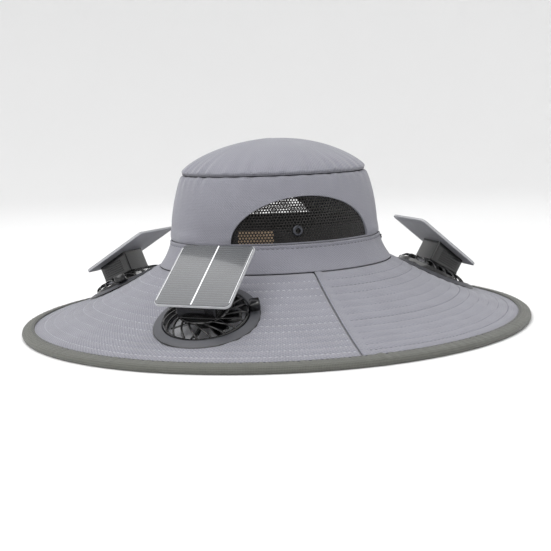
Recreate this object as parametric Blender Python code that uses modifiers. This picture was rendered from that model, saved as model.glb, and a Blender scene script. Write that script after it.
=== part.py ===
"""Wide-brimmed cloth sun hat with three solar-powered fans set into its brim.

Sizes are in metres and +Z is up. The hat faces -Y, its vents and brim seams are at +X and -X,
and it rests on the binding round its brim, whose flat foot is at height zero. Each fan unit
is modelled in its own frame: X points out and down the brim, Z along the fan's shaft.
"""

import math

import bmesh
import bpy
import numpy as np
from mathutils import Matrix, Vector

# Ground plan of the hat: lengths run along Y and widths along X
ROOT_HALF_LENGTH = 0.102
ROOT_HALF_WIDTH = 0.089
EDGE_HALF_LENGTH = 0.2195
EDGE_HALF_WIDTH = 0.208

# Heights of the cloth, measured from the root of the brim
BRIM_DROP = 0.048
BRIM_SAG = 0.006
BAND_HEIGHT = 0.0215
SIDE_HEIGHT = 0.0763
SEAM_UPRIGHT = 0.0015
DOME_HEIGHT = 0.0272
DOME_ROUNDNESS = 0.75

# Cloth
CLOTH = 0.0015
BRIM_THICKNESS = 0.0022
CLEARANCE = 0.0003
SWEATBAND_LOW = 0.003
SWEATBAND_HEIGHT = 0.034
SWEATBAND_EASE = 0.0012
SWEATBAND_THICKNESS = 0.0012
BINDING_TAPE = 0.001
BINDING_WIDTH = 0.009
BINDING_FOOT = 0.003

# Half-moon vents in the crown's sides, each with an eyelet
VENT_HALF_LENGTH = 0.060
VENT_RISE = 0.037
VENT_SILL = 0.0015
VENT_NET = 0.0006
EYELET_ALONG = -0.0086
EYELET_HEIGHT = 0.0322
EYELET_RADIUS = 0.0045
EYELET_BORE = 0.0019
EYELET_LIP = 0.0007
EYELET_WALL = 0.0006

# Cord toggle at the back of the band
TOGGLE_WIDTH = 0.007
TOGGLE_LENGTH = 0.009
TOGGLE_DEPTH = 0.005
TOGGLE_HEIGHT = 0.010

# Fan units
HOLE_RADIUS = 0.0333
FLANGE_RADIUS = 0.041
FLANGE_THICKNESS = 0.0022
FLANGE_LIP = 0.0009
FLANGE_TAPER = 0.0028
CLAMP_RADIUS = 0.038
CLAMP_THICKNESS = 0.0018
CAGE_WALL = 0.0017
CAGE_RING_TOP = 0.0036
CAGE_RING_BOTTOM = -0.008
CAGE_HEIGHT = 0.0098
HUB_RADIUS = 0.020
HUB_THICKNESS = 0.0018
MOTOR_RADIUS = 0.008
MOTOR_DEPTH = 0.0022
SHAFT_RADIUS = 0.0012
SHAFT_DEPTH = 0.006
RIB_COUNT = 20
RIB_WIDTH = 0.0022
RIB_THICKNESS = 0.0012
RIB_SWIRL = math.radians(27)
RIB_SHOULDER = 2.6
RIB_STEPS = (0.0, 0.56, 1.0)
SPINNER_RADIUS = 0.0095
SPINNER_DEPTH = 0.0085
BLADE_COUNT = 7
BLADE_RADIUS = 0.0275
BLADE_CHORD = 0.0110
BLADE_THICKNESS = 0.0012
BLADE_DROP = 0.0048
HOUSING_LENGTH = 0.031
HOUSING_WIDTH = 0.031
HOUSING_BEVEL = 0.0016
PORT_LENGTH = 0.010
PORT_WIDTH = 0.008
PORT_HEIGHT = 0.007
PORT_AROUND = math.radians(112)

# Solar panels
PANEL_LENGTH = 0.070
PANEL_WIDTH = 0.060
PANEL_THICKNESS = 0.0024
PANEL_CORNER = 0.0045
PANEL_HEIGHT = 0.0265
PANEL_OFFSET = 0.014
PANEL_TILT = math.radians(9)

# Facets
AROUND = 36
ROUND_SIDES = 20
HUB_SIDES = 12
SMALL_SIDES = 10
SLOPE_STEP = 1e-4

# Side of the crown: height as a share of SIDE_HEIGHT, and the outline's size as a share of the root's
CROWN_SECTIONS = (
    (0.00, 1.000),
    (0.10, 0.952),
    (0.28, 0.898),
    (0.52, 0.885),
    (0.76, 0.851),
    (0.93, 0.812),
    (1.00, 0.789),
)

# Top of the crown: share of the seam's outline at each ring, from the seam to near the apex
DOME_RINGS = (1.0, 0.93, 0.74, 0.42)

# Fan units: name, angle round the hat from +X, share of the brim's slope, lean beyond the brim's own slope
FAN_UNITS = (
    ("left", math.radians(-39), 0.42, math.radians(-1)),
    ("right", math.radians(-133), 0.42, math.radians(-1)),
    ("back", math.radians(90), 0.42, math.radians(7)),
)

# Impeller blade: share of the blade's reach, chord as a share of BLADE_CHORD, pitch
BLADE_SECTIONS = (
    (0.0, 0.80, math.radians(48)),
    (0.5, 1.00, math.radians(38)),
    (1.0, 0.90, math.radians(28)),
)

# The brim's upper face at its edge clears the surface by the brim, its gap and the tape below it
EDGE_HEIGHT = BRIM_THICKNESS + CLEARANCE + BINDING_TAPE
ROOT_HEIGHT = EDGE_HEIGHT + BRIM_DROP

# Colours, linear, and finishes
MATERIALS = {
    "grey_cloth": ((0.10, 0.10, 0.115), 0.85, 0.0),
    "binding_tape": ((0.035, 0.038, 0.035), 0.8, 0.0),
    "black_net": ((0.02, 0.018, 0.015), 0.8, 0.0),
    "sweatband_cloth": ((0.02, 0.02, 0.022), 0.9, 0.0),
    "black_gloss_plastic": ((0.006, 0.006, 0.007), 0.2, 0.0),
    "grey_rubber": ((0.05, 0.052, 0.056), 0.55, 0.0),
    "dark_metal": ((0.08, 0.08, 0.08), 0.35, 1.0),
    "solar_glass": ((0.03, 0.035, 0.05), 0.15, 0.0),
}


def clear_scene():
    for thing in list(bpy.data.objects):
        bpy.data.objects.remove(thing)


def new_collection(name):
    collection = bpy.data.collections.new(name)
    bpy.context.scene.collection.children.link(collection)
    return collection


def make_material(name):
    colour, roughness, metallic = MATERIALS[name]
    material = bpy.data.materials.new(name)
    material.use_nodes = True
    shader = material.node_tree.nodes["Principled BSDF"]
    shader.inputs["Base Color"].default_value = (*colour, 1.0)
    shader.inputs["Roughness"].default_value = roughness
    shader.inputs["Metallic"].default_value = metallic
    return material


def add_object(name, mesh, material, collection, parent=None, place=Matrix.Identity(4)):
    """Links a mesh as a named part, smooth across its soft edges."""
    thing = bpy.data.objects.new(name, mesh)
    collection.objects.link(thing)
    if material and not mesh.materials:
        mesh.materials.append(material)
    mesh.shade_smooth()
    mesh.set_sharp_from_angle(angle=math.radians(35))
    thing.parent = parent
    thing.matrix_local = place
    return thing


def add_cutter(name, mesh, collection, parent=None, place=Matrix.Identity(4)):
    thing = add_object(name, mesh, None, collection, parent, place)
    thing.hide_render = True
    thing.display_type = "WIRE"
    return thing


def add_boolean(thing, operation, other):
    modifier = thing.modifiers.new(operation.title(), "BOOLEAN")
    modifier.operation = operation
    modifier.object = other


def baked(thing):
    """Turns an object and its modifiers into one mesh, and removes the object."""
    bpy.context.view_layer.update()
    evaluated = thing.evaluated_get(bpy.context.evaluated_depsgraph_get())
    mesh = bpy.data.meshes.new_from_object(evaluated)
    bpy.data.objects.remove(thing)
    return mesh


def grid_mesh(name, rows, wrap_columns=False, wrap_rows=False, pole=None):
    """Quads between rows of points; wrapped rows make a closed ring, and a pole closes the last row."""
    shape = bmesh.new()
    grid = [[shape.verts.new(point) for point in row] for row in rows]
    columns = len(grid[0])
    row_pairs = len(grid) if wrap_rows else len(grid) - 1
    column_pairs = columns if wrap_columns else columns - 1
    for i in range(row_pairs):
        low, high = grid[i], grid[(i + 1) % len(grid)]
        for j in range(column_pairs):
            k = (j + 1) % columns
            shape.faces.new((low[j], low[k], high[k], high[j]))
    if pole is not None:
        top = shape.verts.new(pole)
        for j in range(column_pairs):
            shape.faces.new((grid[-1][j], grid[-1][(j + 1) % columns], top))
    if wrap_rows and wrap_columns:
        bmesh.ops.recalc_face_normals(shape, faces=shape.faces)
    mesh = bpy.data.meshes.new(name)
    shape.to_mesh(mesh)
    shape.free()
    return mesh


def add_shell(name, mesh, thickness, material, collection):
    """An open surface with its thickness laid on the inside."""
    thing = add_object(name, mesh, material, collection)
    solidify = thing.modifiers.new("Thickness", "SOLIDIFY")
    solidify.thickness = thickness
    solidify.offset = -1.0
    solidify.use_even_offset = True
    return thing


def turned_mesh(name, profile, sides):
    """A closed profile of (radius, height) points, listed down its outer side, turned about Z."""
    outline = bpy.data.meshes.new(name)
    points = [(radius, 0.0, height) for radius, height in profile]
    edges = [(i, (i + 1) % len(points)) for i in range(len(points))]
    if profile[0][0] == 0.0 and profile[-1][0] == 0.0:
        edges.pop()
    outline.from_pydata(points, edges, [])
    thing = bpy.data.objects.new(name, outline)
    bpy.context.scene.collection.objects.link(thing)
    screw = thing.modifiers.new("Turn", "SCREW")
    screw.axis = "Z"
    screw.steps = sides
    screw.render_steps = sides
    screw.use_merge_vertices = True
    screw.merge_threshold = 0.00001
    return baked(thing)


def cylinder_mesh(name, radius, depth, sides):
    shape = bmesh.new()
    bmesh.ops.create_cone(
        shape, cap_ends=True, segments=sides, radius1=radius, radius2=radius, depth=depth
    )
    mesh = bpy.data.meshes.new(name)
    shape.to_mesh(mesh)
    shape.free()
    return mesh


def plate_mesh(name, length, width, thickness, corner, segments):
    """A flat plate, centred, with its four upright edges rounded."""
    shape = bmesh.new()
    bmesh.ops.create_cube(shape, size=1.0)
    bmesh.ops.scale(shape, vec=(length, width, thickness), verts=shape.verts)
    upright = [
        edge for edge in shape.edges
        if abs(edge.verts[0].co.z - edge.verts[1].co.z) > thickness / 2
    ]
    bmesh.ops.bevel(
        shape, geom=upright, offset=corner, segments=segments, profile=0.5, affect="EDGES"
    )
    mesh = bpy.data.meshes.new(name)
    shape.to_mesh(mesh)
    shape.free()
    return mesh


def read_curve(rows, at):
    """Value of a two-column table at a point, on a smooth curve through its rows."""
    places, values = (np.array(column) for column in zip(*rows))
    slopes = np.gradient(values, places)
    low = int(np.clip(np.searchsorted(places, at) - 1, 0, len(places) - 2))
    span = places[low + 1] - places[low]
    t = float(np.clip((at - places[low]) / span, 0.0, 1.0))
    return float(
        values[low] * (1 + 2 * t) * (1 - t) ** 2
        + values[low + 1] * t * t * (3 - 2 * t)
        + span * (slopes[low] * t * (1 - t) ** 2 - slopes[low + 1] * t * t * (1 - t))
    )


def frame_of(surface, angle, along):
    """Point of a surface with its directions along, round and out of it, as a matrix."""
    point = surface(angle, along)
    forward = (surface(angle, along + SLOPE_STEP) - surface(angle, along - SLOPE_STEP)).normalized()
    round_hat = surface(angle + SLOPE_STEP, along) - surface(angle - SLOPE_STEP, along)
    outward = forward.cross(round_hat).normalized()
    sideways = outward.cross(forward)
    matrix = Matrix((forward, sideways, outward)).transposed().to_4x4()
    matrix.translation = point
    return matrix


def crown_point(angle, height, inset=0.0):
    """Point on the side of the crown, at a height above the brim's root."""
    share = read_curve(CROWN_SECTIONS, height / SIDE_HEIGHT)
    return Vector((
        (ROOT_HALF_WIDTH * share - inset) * math.cos(angle),
        (ROOT_HALF_LENGTH * share - inset) * math.sin(angle),
        ROOT_HEIGHT + height,
    ))


def crown_frame(angle, height):
    """Frame on the side of the crown, its X up the wall and its Z out of it."""
    frame = frame_of(crown_point, angle, height)
    return frame @ Matrix.Rotation(math.pi, 4, "X")


def brim_point(angle, share):
    """Point on the brim's upper face, a share of the way from its root to its edge."""
    root_width = ROOT_HALF_WIDTH + CLEARANCE
    root_length = ROOT_HALF_LENGTH + CLEARANCE
    return Vector((
        (root_width + (EDGE_HALF_WIDTH - root_width) * share) * math.cos(angle),
        (root_length + (EDGE_HALF_LENGTH - root_length) * share) * math.sin(angle),
        ROOT_HEIGHT - BRIM_DROP * share - BRIM_SAG * 4 * share * (1 - share),
    ))


def round_angles(count, start=0.0, sweep=math.tau, both_ends=False):
    return [start + sweep * i / count for i in range(count + both_ends)]


def crown_wall(name, low, high, steps, inset):
    """Open wall of the crown's side between two heights."""
    rows = [
        [crown_point(angle, height, inset) for angle in round_angles(AROUND)]
        for height in np.linspace(low, high, steps + 1)
    ]
    return grid_mesh(name, rows, wrap_columns=True)


def vent_outline_mesh(name, grow, low_x, high_x):
    """Prism along X with a half-moon outline, larger than the vent by grow all round."""
    sill = ROOT_HEIGHT + BAND_HEIGHT + VENT_SILL
    half_length = VENT_HALF_LENGTH + grow
    rise = VENT_RISE + grow * 2
    outline = [(half_length * math.cos(a), sill - grow + rise * math.sin(a))
               for a in round_angles(AROUND // 2, 0.0, math.pi, both_ends=True)]
    outline[0] = (half_length, sill - grow)
    outline[-1] = (-half_length, sill - grow)
    shape = bmesh.new()
    face = shape.faces.new([shape.verts.new((low_x, y, z)) for y, z in outline])
    grown = bmesh.ops.extrude_face_region(shape, geom=[face])
    moved = [part for part in grown["geom"] if isinstance(part, bmesh.types.BMVert)]
    bmesh.ops.translate(shape, vec=(high_x - low_x, 0, 0), verts=moved)
    bmesh.ops.recalc_face_normals(shape, faces=shape.faces)
    mesh = bpy.data.meshes.new(name)
    shape.to_mesh(mesh)
    shape.free()
    return mesh


def eyelet_place(side):
    """Frame of an eyelet, its Z out of the crown, on the vent at side +1 (+X) or -1 (-X)."""
    share = read_curve(CROWN_SECTIONS, EYELET_HEIGHT / SIDE_HEIGHT)
    lean = math.asin(EYELET_ALONG / (ROOT_HALF_LENGTH * share))
    angle = lean if side > 0 else math.pi - lean
    return crown_frame(angle, EYELET_HEIGHT) @ Matrix.Translation((0, 0, -CLOTH / 2))


def build_crown(hat, cutters, cloth):
    """Side wall with both vents cut through it, and the puffed top."""
    side = add_shell(
        "crown_side",
        crown_wall("crown_side", BAND_HEIGHT + CLEARANCE, SIDE_HEIGHT, 4, 0.0),
        CLOTH, cloth["grey_cloth"], hat,
    )
    reach = ROOT_HALF_WIDTH * 2
    window = add_cutter("vent_window", vent_outline_mesh("vent_window", 0.0, -reach, reach), cutters)
    add_boolean(side, "DIFFERENCE", window)

    seam_share = CROWN_SECTIONS[-1][1]
    seam_height = ROOT_HEIGHT + SIDE_HEIGHT + CLEARANCE
    rings = [(1.0, 0.0)]
    rings += [
        (share, SEAM_UPRIGHT + DOME_HEIGHT * (1 - share ** 2) ** DOME_ROUNDNESS) for share in DOME_RINGS
    ]
    rows = []
    for share, rise in rings:
        half_width = ROOT_HALF_WIDTH * seam_share * share
        half_length = ROOT_HALF_LENGTH * seam_share * share
        rows.append([
            Vector((half_width * math.cos(a), half_length * math.sin(a), seam_height + rise))
            for a in round_angles(AROUND)
        ])
    apex = Vector((0, 0, seam_height + SEAM_UPRIGHT + DOME_HEIGHT))
    add_shell(
        "crown_top", grid_mesh("crown_top", rows, wrap_columns=True, pole=apex),
        CLOTH, cloth["grey_cloth"], hat,
    )


def build_band(hat, cloth):
    """Sewn band at the crown's foot, and the sweatband inside it."""
    add_shell(
        "hat_band", crown_wall("hat_band", 0.0, BAND_HEIGHT, 3, 0.0),
        CLOTH, cloth["grey_cloth"], hat,
    )
    add_shell(
        "sweatband",
        crown_wall("sweatband", SWEATBAND_LOW, SWEATBAND_HEIGHT, 2, CLOTH + SWEATBAND_EASE),
        SWEATBAND_THICKNESS, cloth["sweatband_cloth"], hat,
    )


def build_vents(hat, cutters, cloth):
    """Net panel and eyelet of each side's vent."""
    eyelet_barrel = EYELET_BORE + EYELET_WALL
    lip_low = VENT_NET / 2 + CLEARANCE * 2
    lip_high = lip_low + EYELET_LIP
    profile = (
        (EYELET_BORE, lip_high), (EYELET_RADIUS, lip_high), (EYELET_RADIUS, lip_low),
        (eyelet_barrel, lip_low), (eyelet_barrel, -lip_low), (EYELET_RADIUS, -lip_low),
        (EYELET_RADIUS, -lip_high), (EYELET_BORE, -lip_high),
    )
    eyelet_mesh = turned_mesh("vent_eyelet", profile, SMALL_SIDES)
    bore_mesh = cylinder_mesh("eyelet_hole", eyelet_barrel + CLEARANCE, EYELET_RADIUS * 2, SMALL_SIDES)
    for name, side in (("left", 1), ("right", -1)):
        low_x, high_x = sorted((0.0, side * ROOT_HALF_WIDTH * 2))
        window = add_cutter(
            name + "_vent_outline",
            vent_outline_mesh(name + "_vent_outline", -CLEARANCE, low_x, high_x), cutters,
        )
        place = eyelet_place(side)
        hole = add_cutter(name + "_eyelet_hole", bore_mesh, cutters, place=place)
        wall = crown_wall(
            name + "_vent_net", BAND_HEIGHT, SIDE_HEIGHT, 4, (CLOTH - VENT_NET) / 2
        )
        net = add_shell(name + "_vent_net", wall, VENT_NET, cloth["black_net"], hat)
        add_boolean(net, "INTERSECT", window)
        add_boolean(net, "DIFFERENCE", hole)
        add_object(name + "_vent_eyelet", eyelet_mesh, cloth["dark_metal"], hat, place=place)


def build_toggle(hat, cloth):
    """Small cord toggle on the back of the band."""
    frame = crown_frame(math.pi / 2, TOGGLE_HEIGHT)
    sink = Matrix.Translation((0, 0, TOGGLE_DEPTH / 2 + CLEARANCE * 2))
    mesh = plate_mesh("back_toggle", TOGGLE_LENGTH, TOGGLE_WIDTH, TOGGLE_DEPTH, TOGGLE_WIDTH / 4, 2)
    add_object("back_toggle", mesh, cloth["black_gloss_plastic"], hat, place=frame @ sink)


def build_brim(hat, cutters, cloth, units):
    """Front and back halves of the brim, which meet at the side seams, with the fans' holes."""
    half_gap = CLEARANCE / 2
    hole_mesh = cylinder_mesh("brim_hole", HOLE_RADIUS, HOLE_RADIUS, ROUND_SIDES)
    for name, side in (("brim_front", -1), ("brim_back", 1)):
        start = 0.0 if side > 0 else math.pi
        rows = []
        for share in np.linspace(1.0, 0.0, 7):
            row = []
            for angle in round_angles(AROUND // 2, start, math.pi, both_ends=True):
                point = brim_point(angle, share)
                point.y = side * max(abs(point.y), half_gap)
                row.append(point)
            rows.append(row)
        half = add_shell(name, grid_mesh(name, rows), BRIM_THICKNESS, cloth["grey_cloth"], hat)
        for unit_name, empty in units.items():
            if empty.location.y * side > 0:
                hole = add_cutter(unit_name + "_hole", hole_mesh, cutters, parent=empty)
                add_boolean(half, "DIFFERENCE", hole)


def build_binding(hat, cloth):
    """Tape folded round the brim's edge, with a flat foot that the hat stands on."""
    top = CLEARANCE
    bottom = -BRIM_THICKNESS - CLEARANCE
    # Distance out from the edge and height over the brim's upper face; None is the floor
    section = (
        (-BINDING_WIDTH, top), (-BINDING_WIDTH, top + BINDING_TAPE), (0.0, top + BINDING_TAPE),
        (CLEARANCE + BINDING_TAPE, -BRIM_THICKNESS / 2), (0.0, None), (-BINDING_FOOT, None),
        (-BINDING_WIDTH, bottom - BINDING_TAPE), (-BINDING_WIDTH, bottom),
        (CLEARANCE, bottom), (CLEARANCE, top),
    )
    rows = []
    for angle in round_angles(AROUND):
        edge = frame_of(brim_point, angle, 1.0)
        row = []
        for out, height in section:
            point = edge @ Vector((out, 0.0, height or 0.0))
            if height is None:
                point.z = 0.0
            row.append(point)
        rows.append(row)
    mesh = grid_mesh("brim_binding", rows, wrap_columns=True, wrap_rows=True)
    add_object("brim_binding", mesh, cloth["binding_tape"], hat)


def add_unit_empties(hat):
    """One empty for each fan unit, on its shaft where it crosses the brim's upper face."""
    empties = {}
    for name, angle, share, lean in FAN_UNITS:
        empty = bpy.data.objects.new(name + "_fan_frame", None)
        hat.objects.link(empty)
        empty.matrix_world = frame_of(brim_point, angle, share) @ Matrix.Rotation(lean, 4, "Y")
        empties[name] = empty
    bpy.context.view_layer.update()
    return empties


def brim_height_at(to_unit, angle, share, x, y):
    """Height in a unit's frame where the line over (x, y) meets the brim's upper face."""
    for _ in range(8):
        here = to_unit @ brim_point(angle, share)
        turn = (to_unit @ brim_point(angle + SLOPE_STEP, share) - here) / SLOPE_STEP
        slide = (to_unit @ brim_point(angle, share + SLOPE_STEP) - here) / SLOPE_STEP
        steps = np.linalg.solve([[turn.x, slide.x], [turn.y, slide.y]], [x - here.x, y - here.y])
        angle += steps[0]
        share += steps[1]
    return here.z


def brim_ring_mesh(name, unit, section):
    """Ring that follows the brim: a closed section of (radius, height over the brim) points."""
    label, angle, share, _lean = unit
    to_unit = bpy.data.objects[label + "_fan_frame"].matrix_world.inverted()
    rows = []
    for around in round_angles(ROUND_SIDES):
        row = []
        for radius, lift in section:
            x, y = radius * math.cos(around), radius * math.sin(around)
            row.append(Vector((x, y, lift + brim_height_at(to_unit, angle, share, x, y))))
        rows.append(row)
    return grid_mesh(name, rows, wrap_columns=True, wrap_rows=True)


def loft_boxes(shape, sections):
    """Adds a closed bar through four-cornered sections to a bmesh."""
    rings = [[shape.verts.new(point) for point in corners] for corners in sections]
    for low, high in zip(rings, rings[1:]):
        for j in range(4):
            k = (j + 1) % 4
            shape.faces.new((low[j], low[k], high[k], high[j]))
    shape.faces.new(rings[0][::-1])
    shape.faces.new(rings[-1])


def cage_profile(share):
    """Radius and height along a rib, from the hub's rim over the shoulder to the ring."""
    reach = math.sin(share * math.pi / 2) ** (2 / RIB_SHOULDER)
    rise = max(math.cos(share * math.pi / 2), 0.0) ** (2 / RIB_SHOULDER)
    start = HUB_RADIUS - RIB_WIDTH
    end = (HOLE_RADIUS - CLEARANCE - CAGE_WALL / 2) * math.cos(math.pi / ROUND_SIDES)
    low = CAGE_RING_TOP / 2
    high = CAGE_HEIGHT - HUB_THICKNESS / 2
    return start + (end - start) * reach, low + (high - low) * rise, reach


def rib_section(share, turn):
    radius, height, reach = cage_profile(share)
    ahead = cage_profile(min(share + 0.02, 1.0))
    behind = cage_profile(max(share - 0.02, 0.0))
    along = Vector((ahead[0] - behind[0], 0, ahead[1] - behind[1])).normalized()
    out = Vector((-along.z, 0, along.x)) * RIB_THICKNESS / 2
    side = Vector((0, RIB_WIDTH / 2, 0))
    centre = Vector((radius, 0, height))
    spin = Matrix.Rotation(turn + RIB_SWIRL * reach, 3, "Z")
    return [spin @ (centre + a * out + b * side) for a, b in ((1, -1), (1, 1), (-1, 1), (-1, -1))]


def cage_mesh(cutters):
    """Guard of a fan: hub with its motor and shaft, swirled ribs and the ring in the brim's hole."""
    outer = HOLE_RADIUS - CLEARANCE
    ring = (
        (outer - CAGE_WALL, CAGE_RING_TOP), (outer, CAGE_RING_TOP),
        (outer, CAGE_RING_BOTTOM), (outer - CAGE_WALL, CAGE_RING_BOTTOM),
    )
    hub_low = CAGE_HEIGHT - HUB_THICKNESS
    motor_low = hub_low - MOTOR_DEPTH
    hub = (
        (0.0, CAGE_HEIGHT), (HUB_RADIUS, CAGE_HEIGHT), (HUB_RADIUS, hub_low),
        (MOTOR_RADIUS, hub_low), (MOTOR_RADIUS, motor_low), (SHAFT_RADIUS, motor_low),
        (SHAFT_RADIUS, motor_low - SHAFT_DEPTH), (0.0, motor_low - SHAFT_DEPTH),
    )
    ribs = bmesh.new()
    for turn in round_angles(RIB_COUNT):
        loft_boxes(ribs, [rib_section(share, turn) for share in RIB_STEPS])
    bmesh.ops.recalc_face_normals(ribs, faces=ribs.faces)
    rib_mesh = bpy.data.meshes.new("cage_ribs")
    ribs.to_mesh(rib_mesh)
    ribs.free()
    cage = add_cutter("cage_ribs", rib_mesh, cutters)
    for name, profile, sides in (("cage_ring", ring, ROUND_SIDES), ("cage_hub", hub, HUB_SIDES)):
        add_boolean(cage, "UNION", add_cutter(name, turned_mesh(name, profile, sides), cutters))
    return baked(cage)


def impeller_mesh(cutters):
    """Impeller that hangs on the motor's shaft: a cup-bored spinner with twisted blades."""
    top = CAGE_HEIGHT - HUB_THICKNESS - MOTOR_DEPTH - CLEARANCE
    bore_end = top - SHAFT_DEPTH - CLEARANCE
    bore = SHAFT_RADIUS + CLEARANCE
    spinner = (
        (bore, top), (SPINNER_RADIUS, top), (SPINNER_RADIUS, top - SPINNER_DEPTH),
        (0.0, top - SPINNER_DEPTH), (0.0, bore_end), (bore, bore_end),
    )
    middle = top - BLADE_DROP
    root = SPINNER_RADIUS - BLADE_THICKNESS
    blades = bmesh.new()
    for turn in round_angles(BLADE_COUNT):
        sections = []
        for share, chord_share, pitch in BLADE_SECTIONS:
            chord = Vector((0, math.cos(pitch), math.sin(pitch))) * BLADE_CHORD * chord_share / 2
            thick = Vector((0, -math.sin(pitch), math.cos(pitch))) * BLADE_THICKNESS / 2
            centre = Vector((root + (BLADE_RADIUS - root) * share, 0, middle))
            spin = Matrix.Rotation(turn, 3, "Z")
            sections.append([
                spin @ (centre + a * chord + b * thick) for a, b in ((-1, -1), (1, -1), (1, 1), (-1, 1))
            ])
        loft_boxes(blades, sections)
    bmesh.ops.recalc_face_normals(blades, faces=blades.faces)
    blade_mesh = bpy.data.meshes.new("impeller_blades")
    blades.to_mesh(blade_mesh)
    blades.free()
    impeller = add_cutter("impeller_blades", blade_mesh, cutters)
    centre = add_cutter("spinner", turned_mesh("spinner", spinner, SMALL_SIDES), cutters)
    add_boolean(impeller, "UNION", centre)
    return baked(impeller)


def housing_mesh():
    """Block that stands on the cage's hub and whose sloped top carries the panel."""
    low = CAGE_HEIGHT + CLEARANCE
    shape = bmesh.new()
    bmesh.ops.create_cube(shape, size=1.0)
    for vertex in shape.verts:
        x = vertex.co.x * HOUSING_LENGTH
        high = PANEL_HEIGHT - CLEARANCE - x * math.tan(PANEL_TILT)
        vertex.co = (x, vertex.co.y * HOUSING_WIDTH, high if vertex.co.z > 0 else low)
    upright = [
        edge for edge in shape.edges
        if abs(edge.verts[0].co.x - edge.verts[1].co.x) + abs(edge.verts[0].co.y - edge.verts[1].co.y)
        < HOUSING_BEVEL
    ]
    bmesh.ops.bevel(
        shape, geom=upright, offset=HOUSING_BEVEL, segments=2, profile=0.5, affect="EDGES"
    )
    mesh = bpy.data.meshes.new("fan_housing")
    shape.to_mesh(mesh)
    shape.free()
    return mesh


def port_section(unit):
    """Place of the small port block, on the flange between the cage and the flange's taper."""
    label, angle, share, _lean = unit
    to_unit = bpy.data.objects[label + "_fan_frame"].matrix_world.inverted()
    radius = HOLE_RADIUS + PORT_WIDTH / 2 + CLEARANCE
    x, y = radius * math.cos(PORT_AROUND), radius * math.sin(PORT_AROUND)
    heights = [
        brim_height_at(to_unit, angle, share, x + a * PORT_LENGTH / 2, y + b * PORT_WIDTH / 2)
        for a in (-1, 0, 1) for b in (-1, 0, 1)
    ]
    low = max(heights) + CLEARANCE * 2 + FLANGE_THICKNESS
    turn = Matrix.Rotation(PORT_AROUND + math.pi / 2, 4, "Z")
    return Matrix.Translation((x, y, low + PORT_HEIGHT / 2)) @ turn


def build_fan_units(hat, cutters, cloth, units):
    """Flange, clamp ring, cage, impeller, housing, port and solar panel of each unit."""
    shared = {
        "fan_cage": (cage_mesh(cutters), "black_gloss_plastic"),
        "fan_impeller": (impeller_mesh(cutters), "black_gloss_plastic"),
        "fan_housing": (housing_mesh(), "black_gloss_plastic"),
    }
    flange = (
        (HOLE_RADIUS, CLEARANCE), (HOLE_RADIUS, CLEARANCE + FLANGE_THICKNESS),
        (FLANGE_RADIUS - FLANGE_TAPER, CLEARANCE + FLANGE_THICKNESS),
        (FLANGE_RADIUS, CLEARANCE + FLANGE_LIP), (FLANGE_RADIUS, CLEARANCE),
    )
    under = -BRIM_THICKNESS - CLEARANCE * 2
    clamp = (
        (HOLE_RADIUS, under), (CLAMP_RADIUS, under),
        (CLAMP_RADIUS, under - CLAMP_THICKNESS), (HOLE_RADIUS, under - CLAMP_THICKNESS),
    )
    panel = plate_mesh("solar_panel", PANEL_LENGTH, PANEL_WIDTH, PANEL_THICKNESS, PANEL_CORNER, 2)
    port = plate_mesh("fan_port", PORT_LENGTH, PORT_WIDTH, PORT_HEIGHT, PORT_WIDTH / 8, 2)
    panel_place = (
        Matrix.Translation((0, 0, PANEL_HEIGHT))
        @ Matrix.Rotation(PANEL_TILT, 4, "Y")
        @ Matrix.Translation((-PANEL_OFFSET, 0, PANEL_THICKNESS / 2))
    )
    for unit in FAN_UNITS:
        name = unit[0]
        parent = units[name]
        ring = brim_ring_mesh(name + "_fan_flange", unit, flange)
        add_object(name + "_fan_flange", ring, cloth["grey_rubber"], hat, parent)
        ring = brim_ring_mesh(name + "_fan_clamp", unit, clamp)
        add_object(name + "_fan_clamp", ring, cloth["black_gloss_plastic"], hat, parent)
        for part, (mesh, material) in shared.items():
            add_object(name + "_" + part, mesh, cloth[material], hat, parent)
        add_object(name + "_fan_port", port, cloth["black_gloss_plastic"], hat, parent, port_section(unit))
        add_object(name + "_solar_panel", panel, cloth["solar_glass"], hat, parent, panel_place)


def main():
    clear_scene()
    hat = new_collection("solar_fan_hat")
    cutters = new_collection("cutters")
    cloth = {name: make_material(name) for name in MATERIALS}
    units = add_unit_empties(hat)
    build_crown(hat, cutters, cloth)
    build_band(hat, cloth)
    build_vents(hat, cutters, cloth)
    build_toggle(hat, cloth)
    build_brim(hat, cutters, cloth, units)
    build_binding(hat, cloth)
    build_fan_units(hat, cutters, cloth, units)


main()
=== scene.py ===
"""Dressed model of a wide-brimmed cloth sun hat with solar-powered fans, on a pale studio floor."""

import math

import bmesh
import bpy
import numpy as np
from bpy.props import FloatProperty, FloatVectorProperty, IntProperty, PointerProperty
from mathutils import Matrix, Vector


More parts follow.
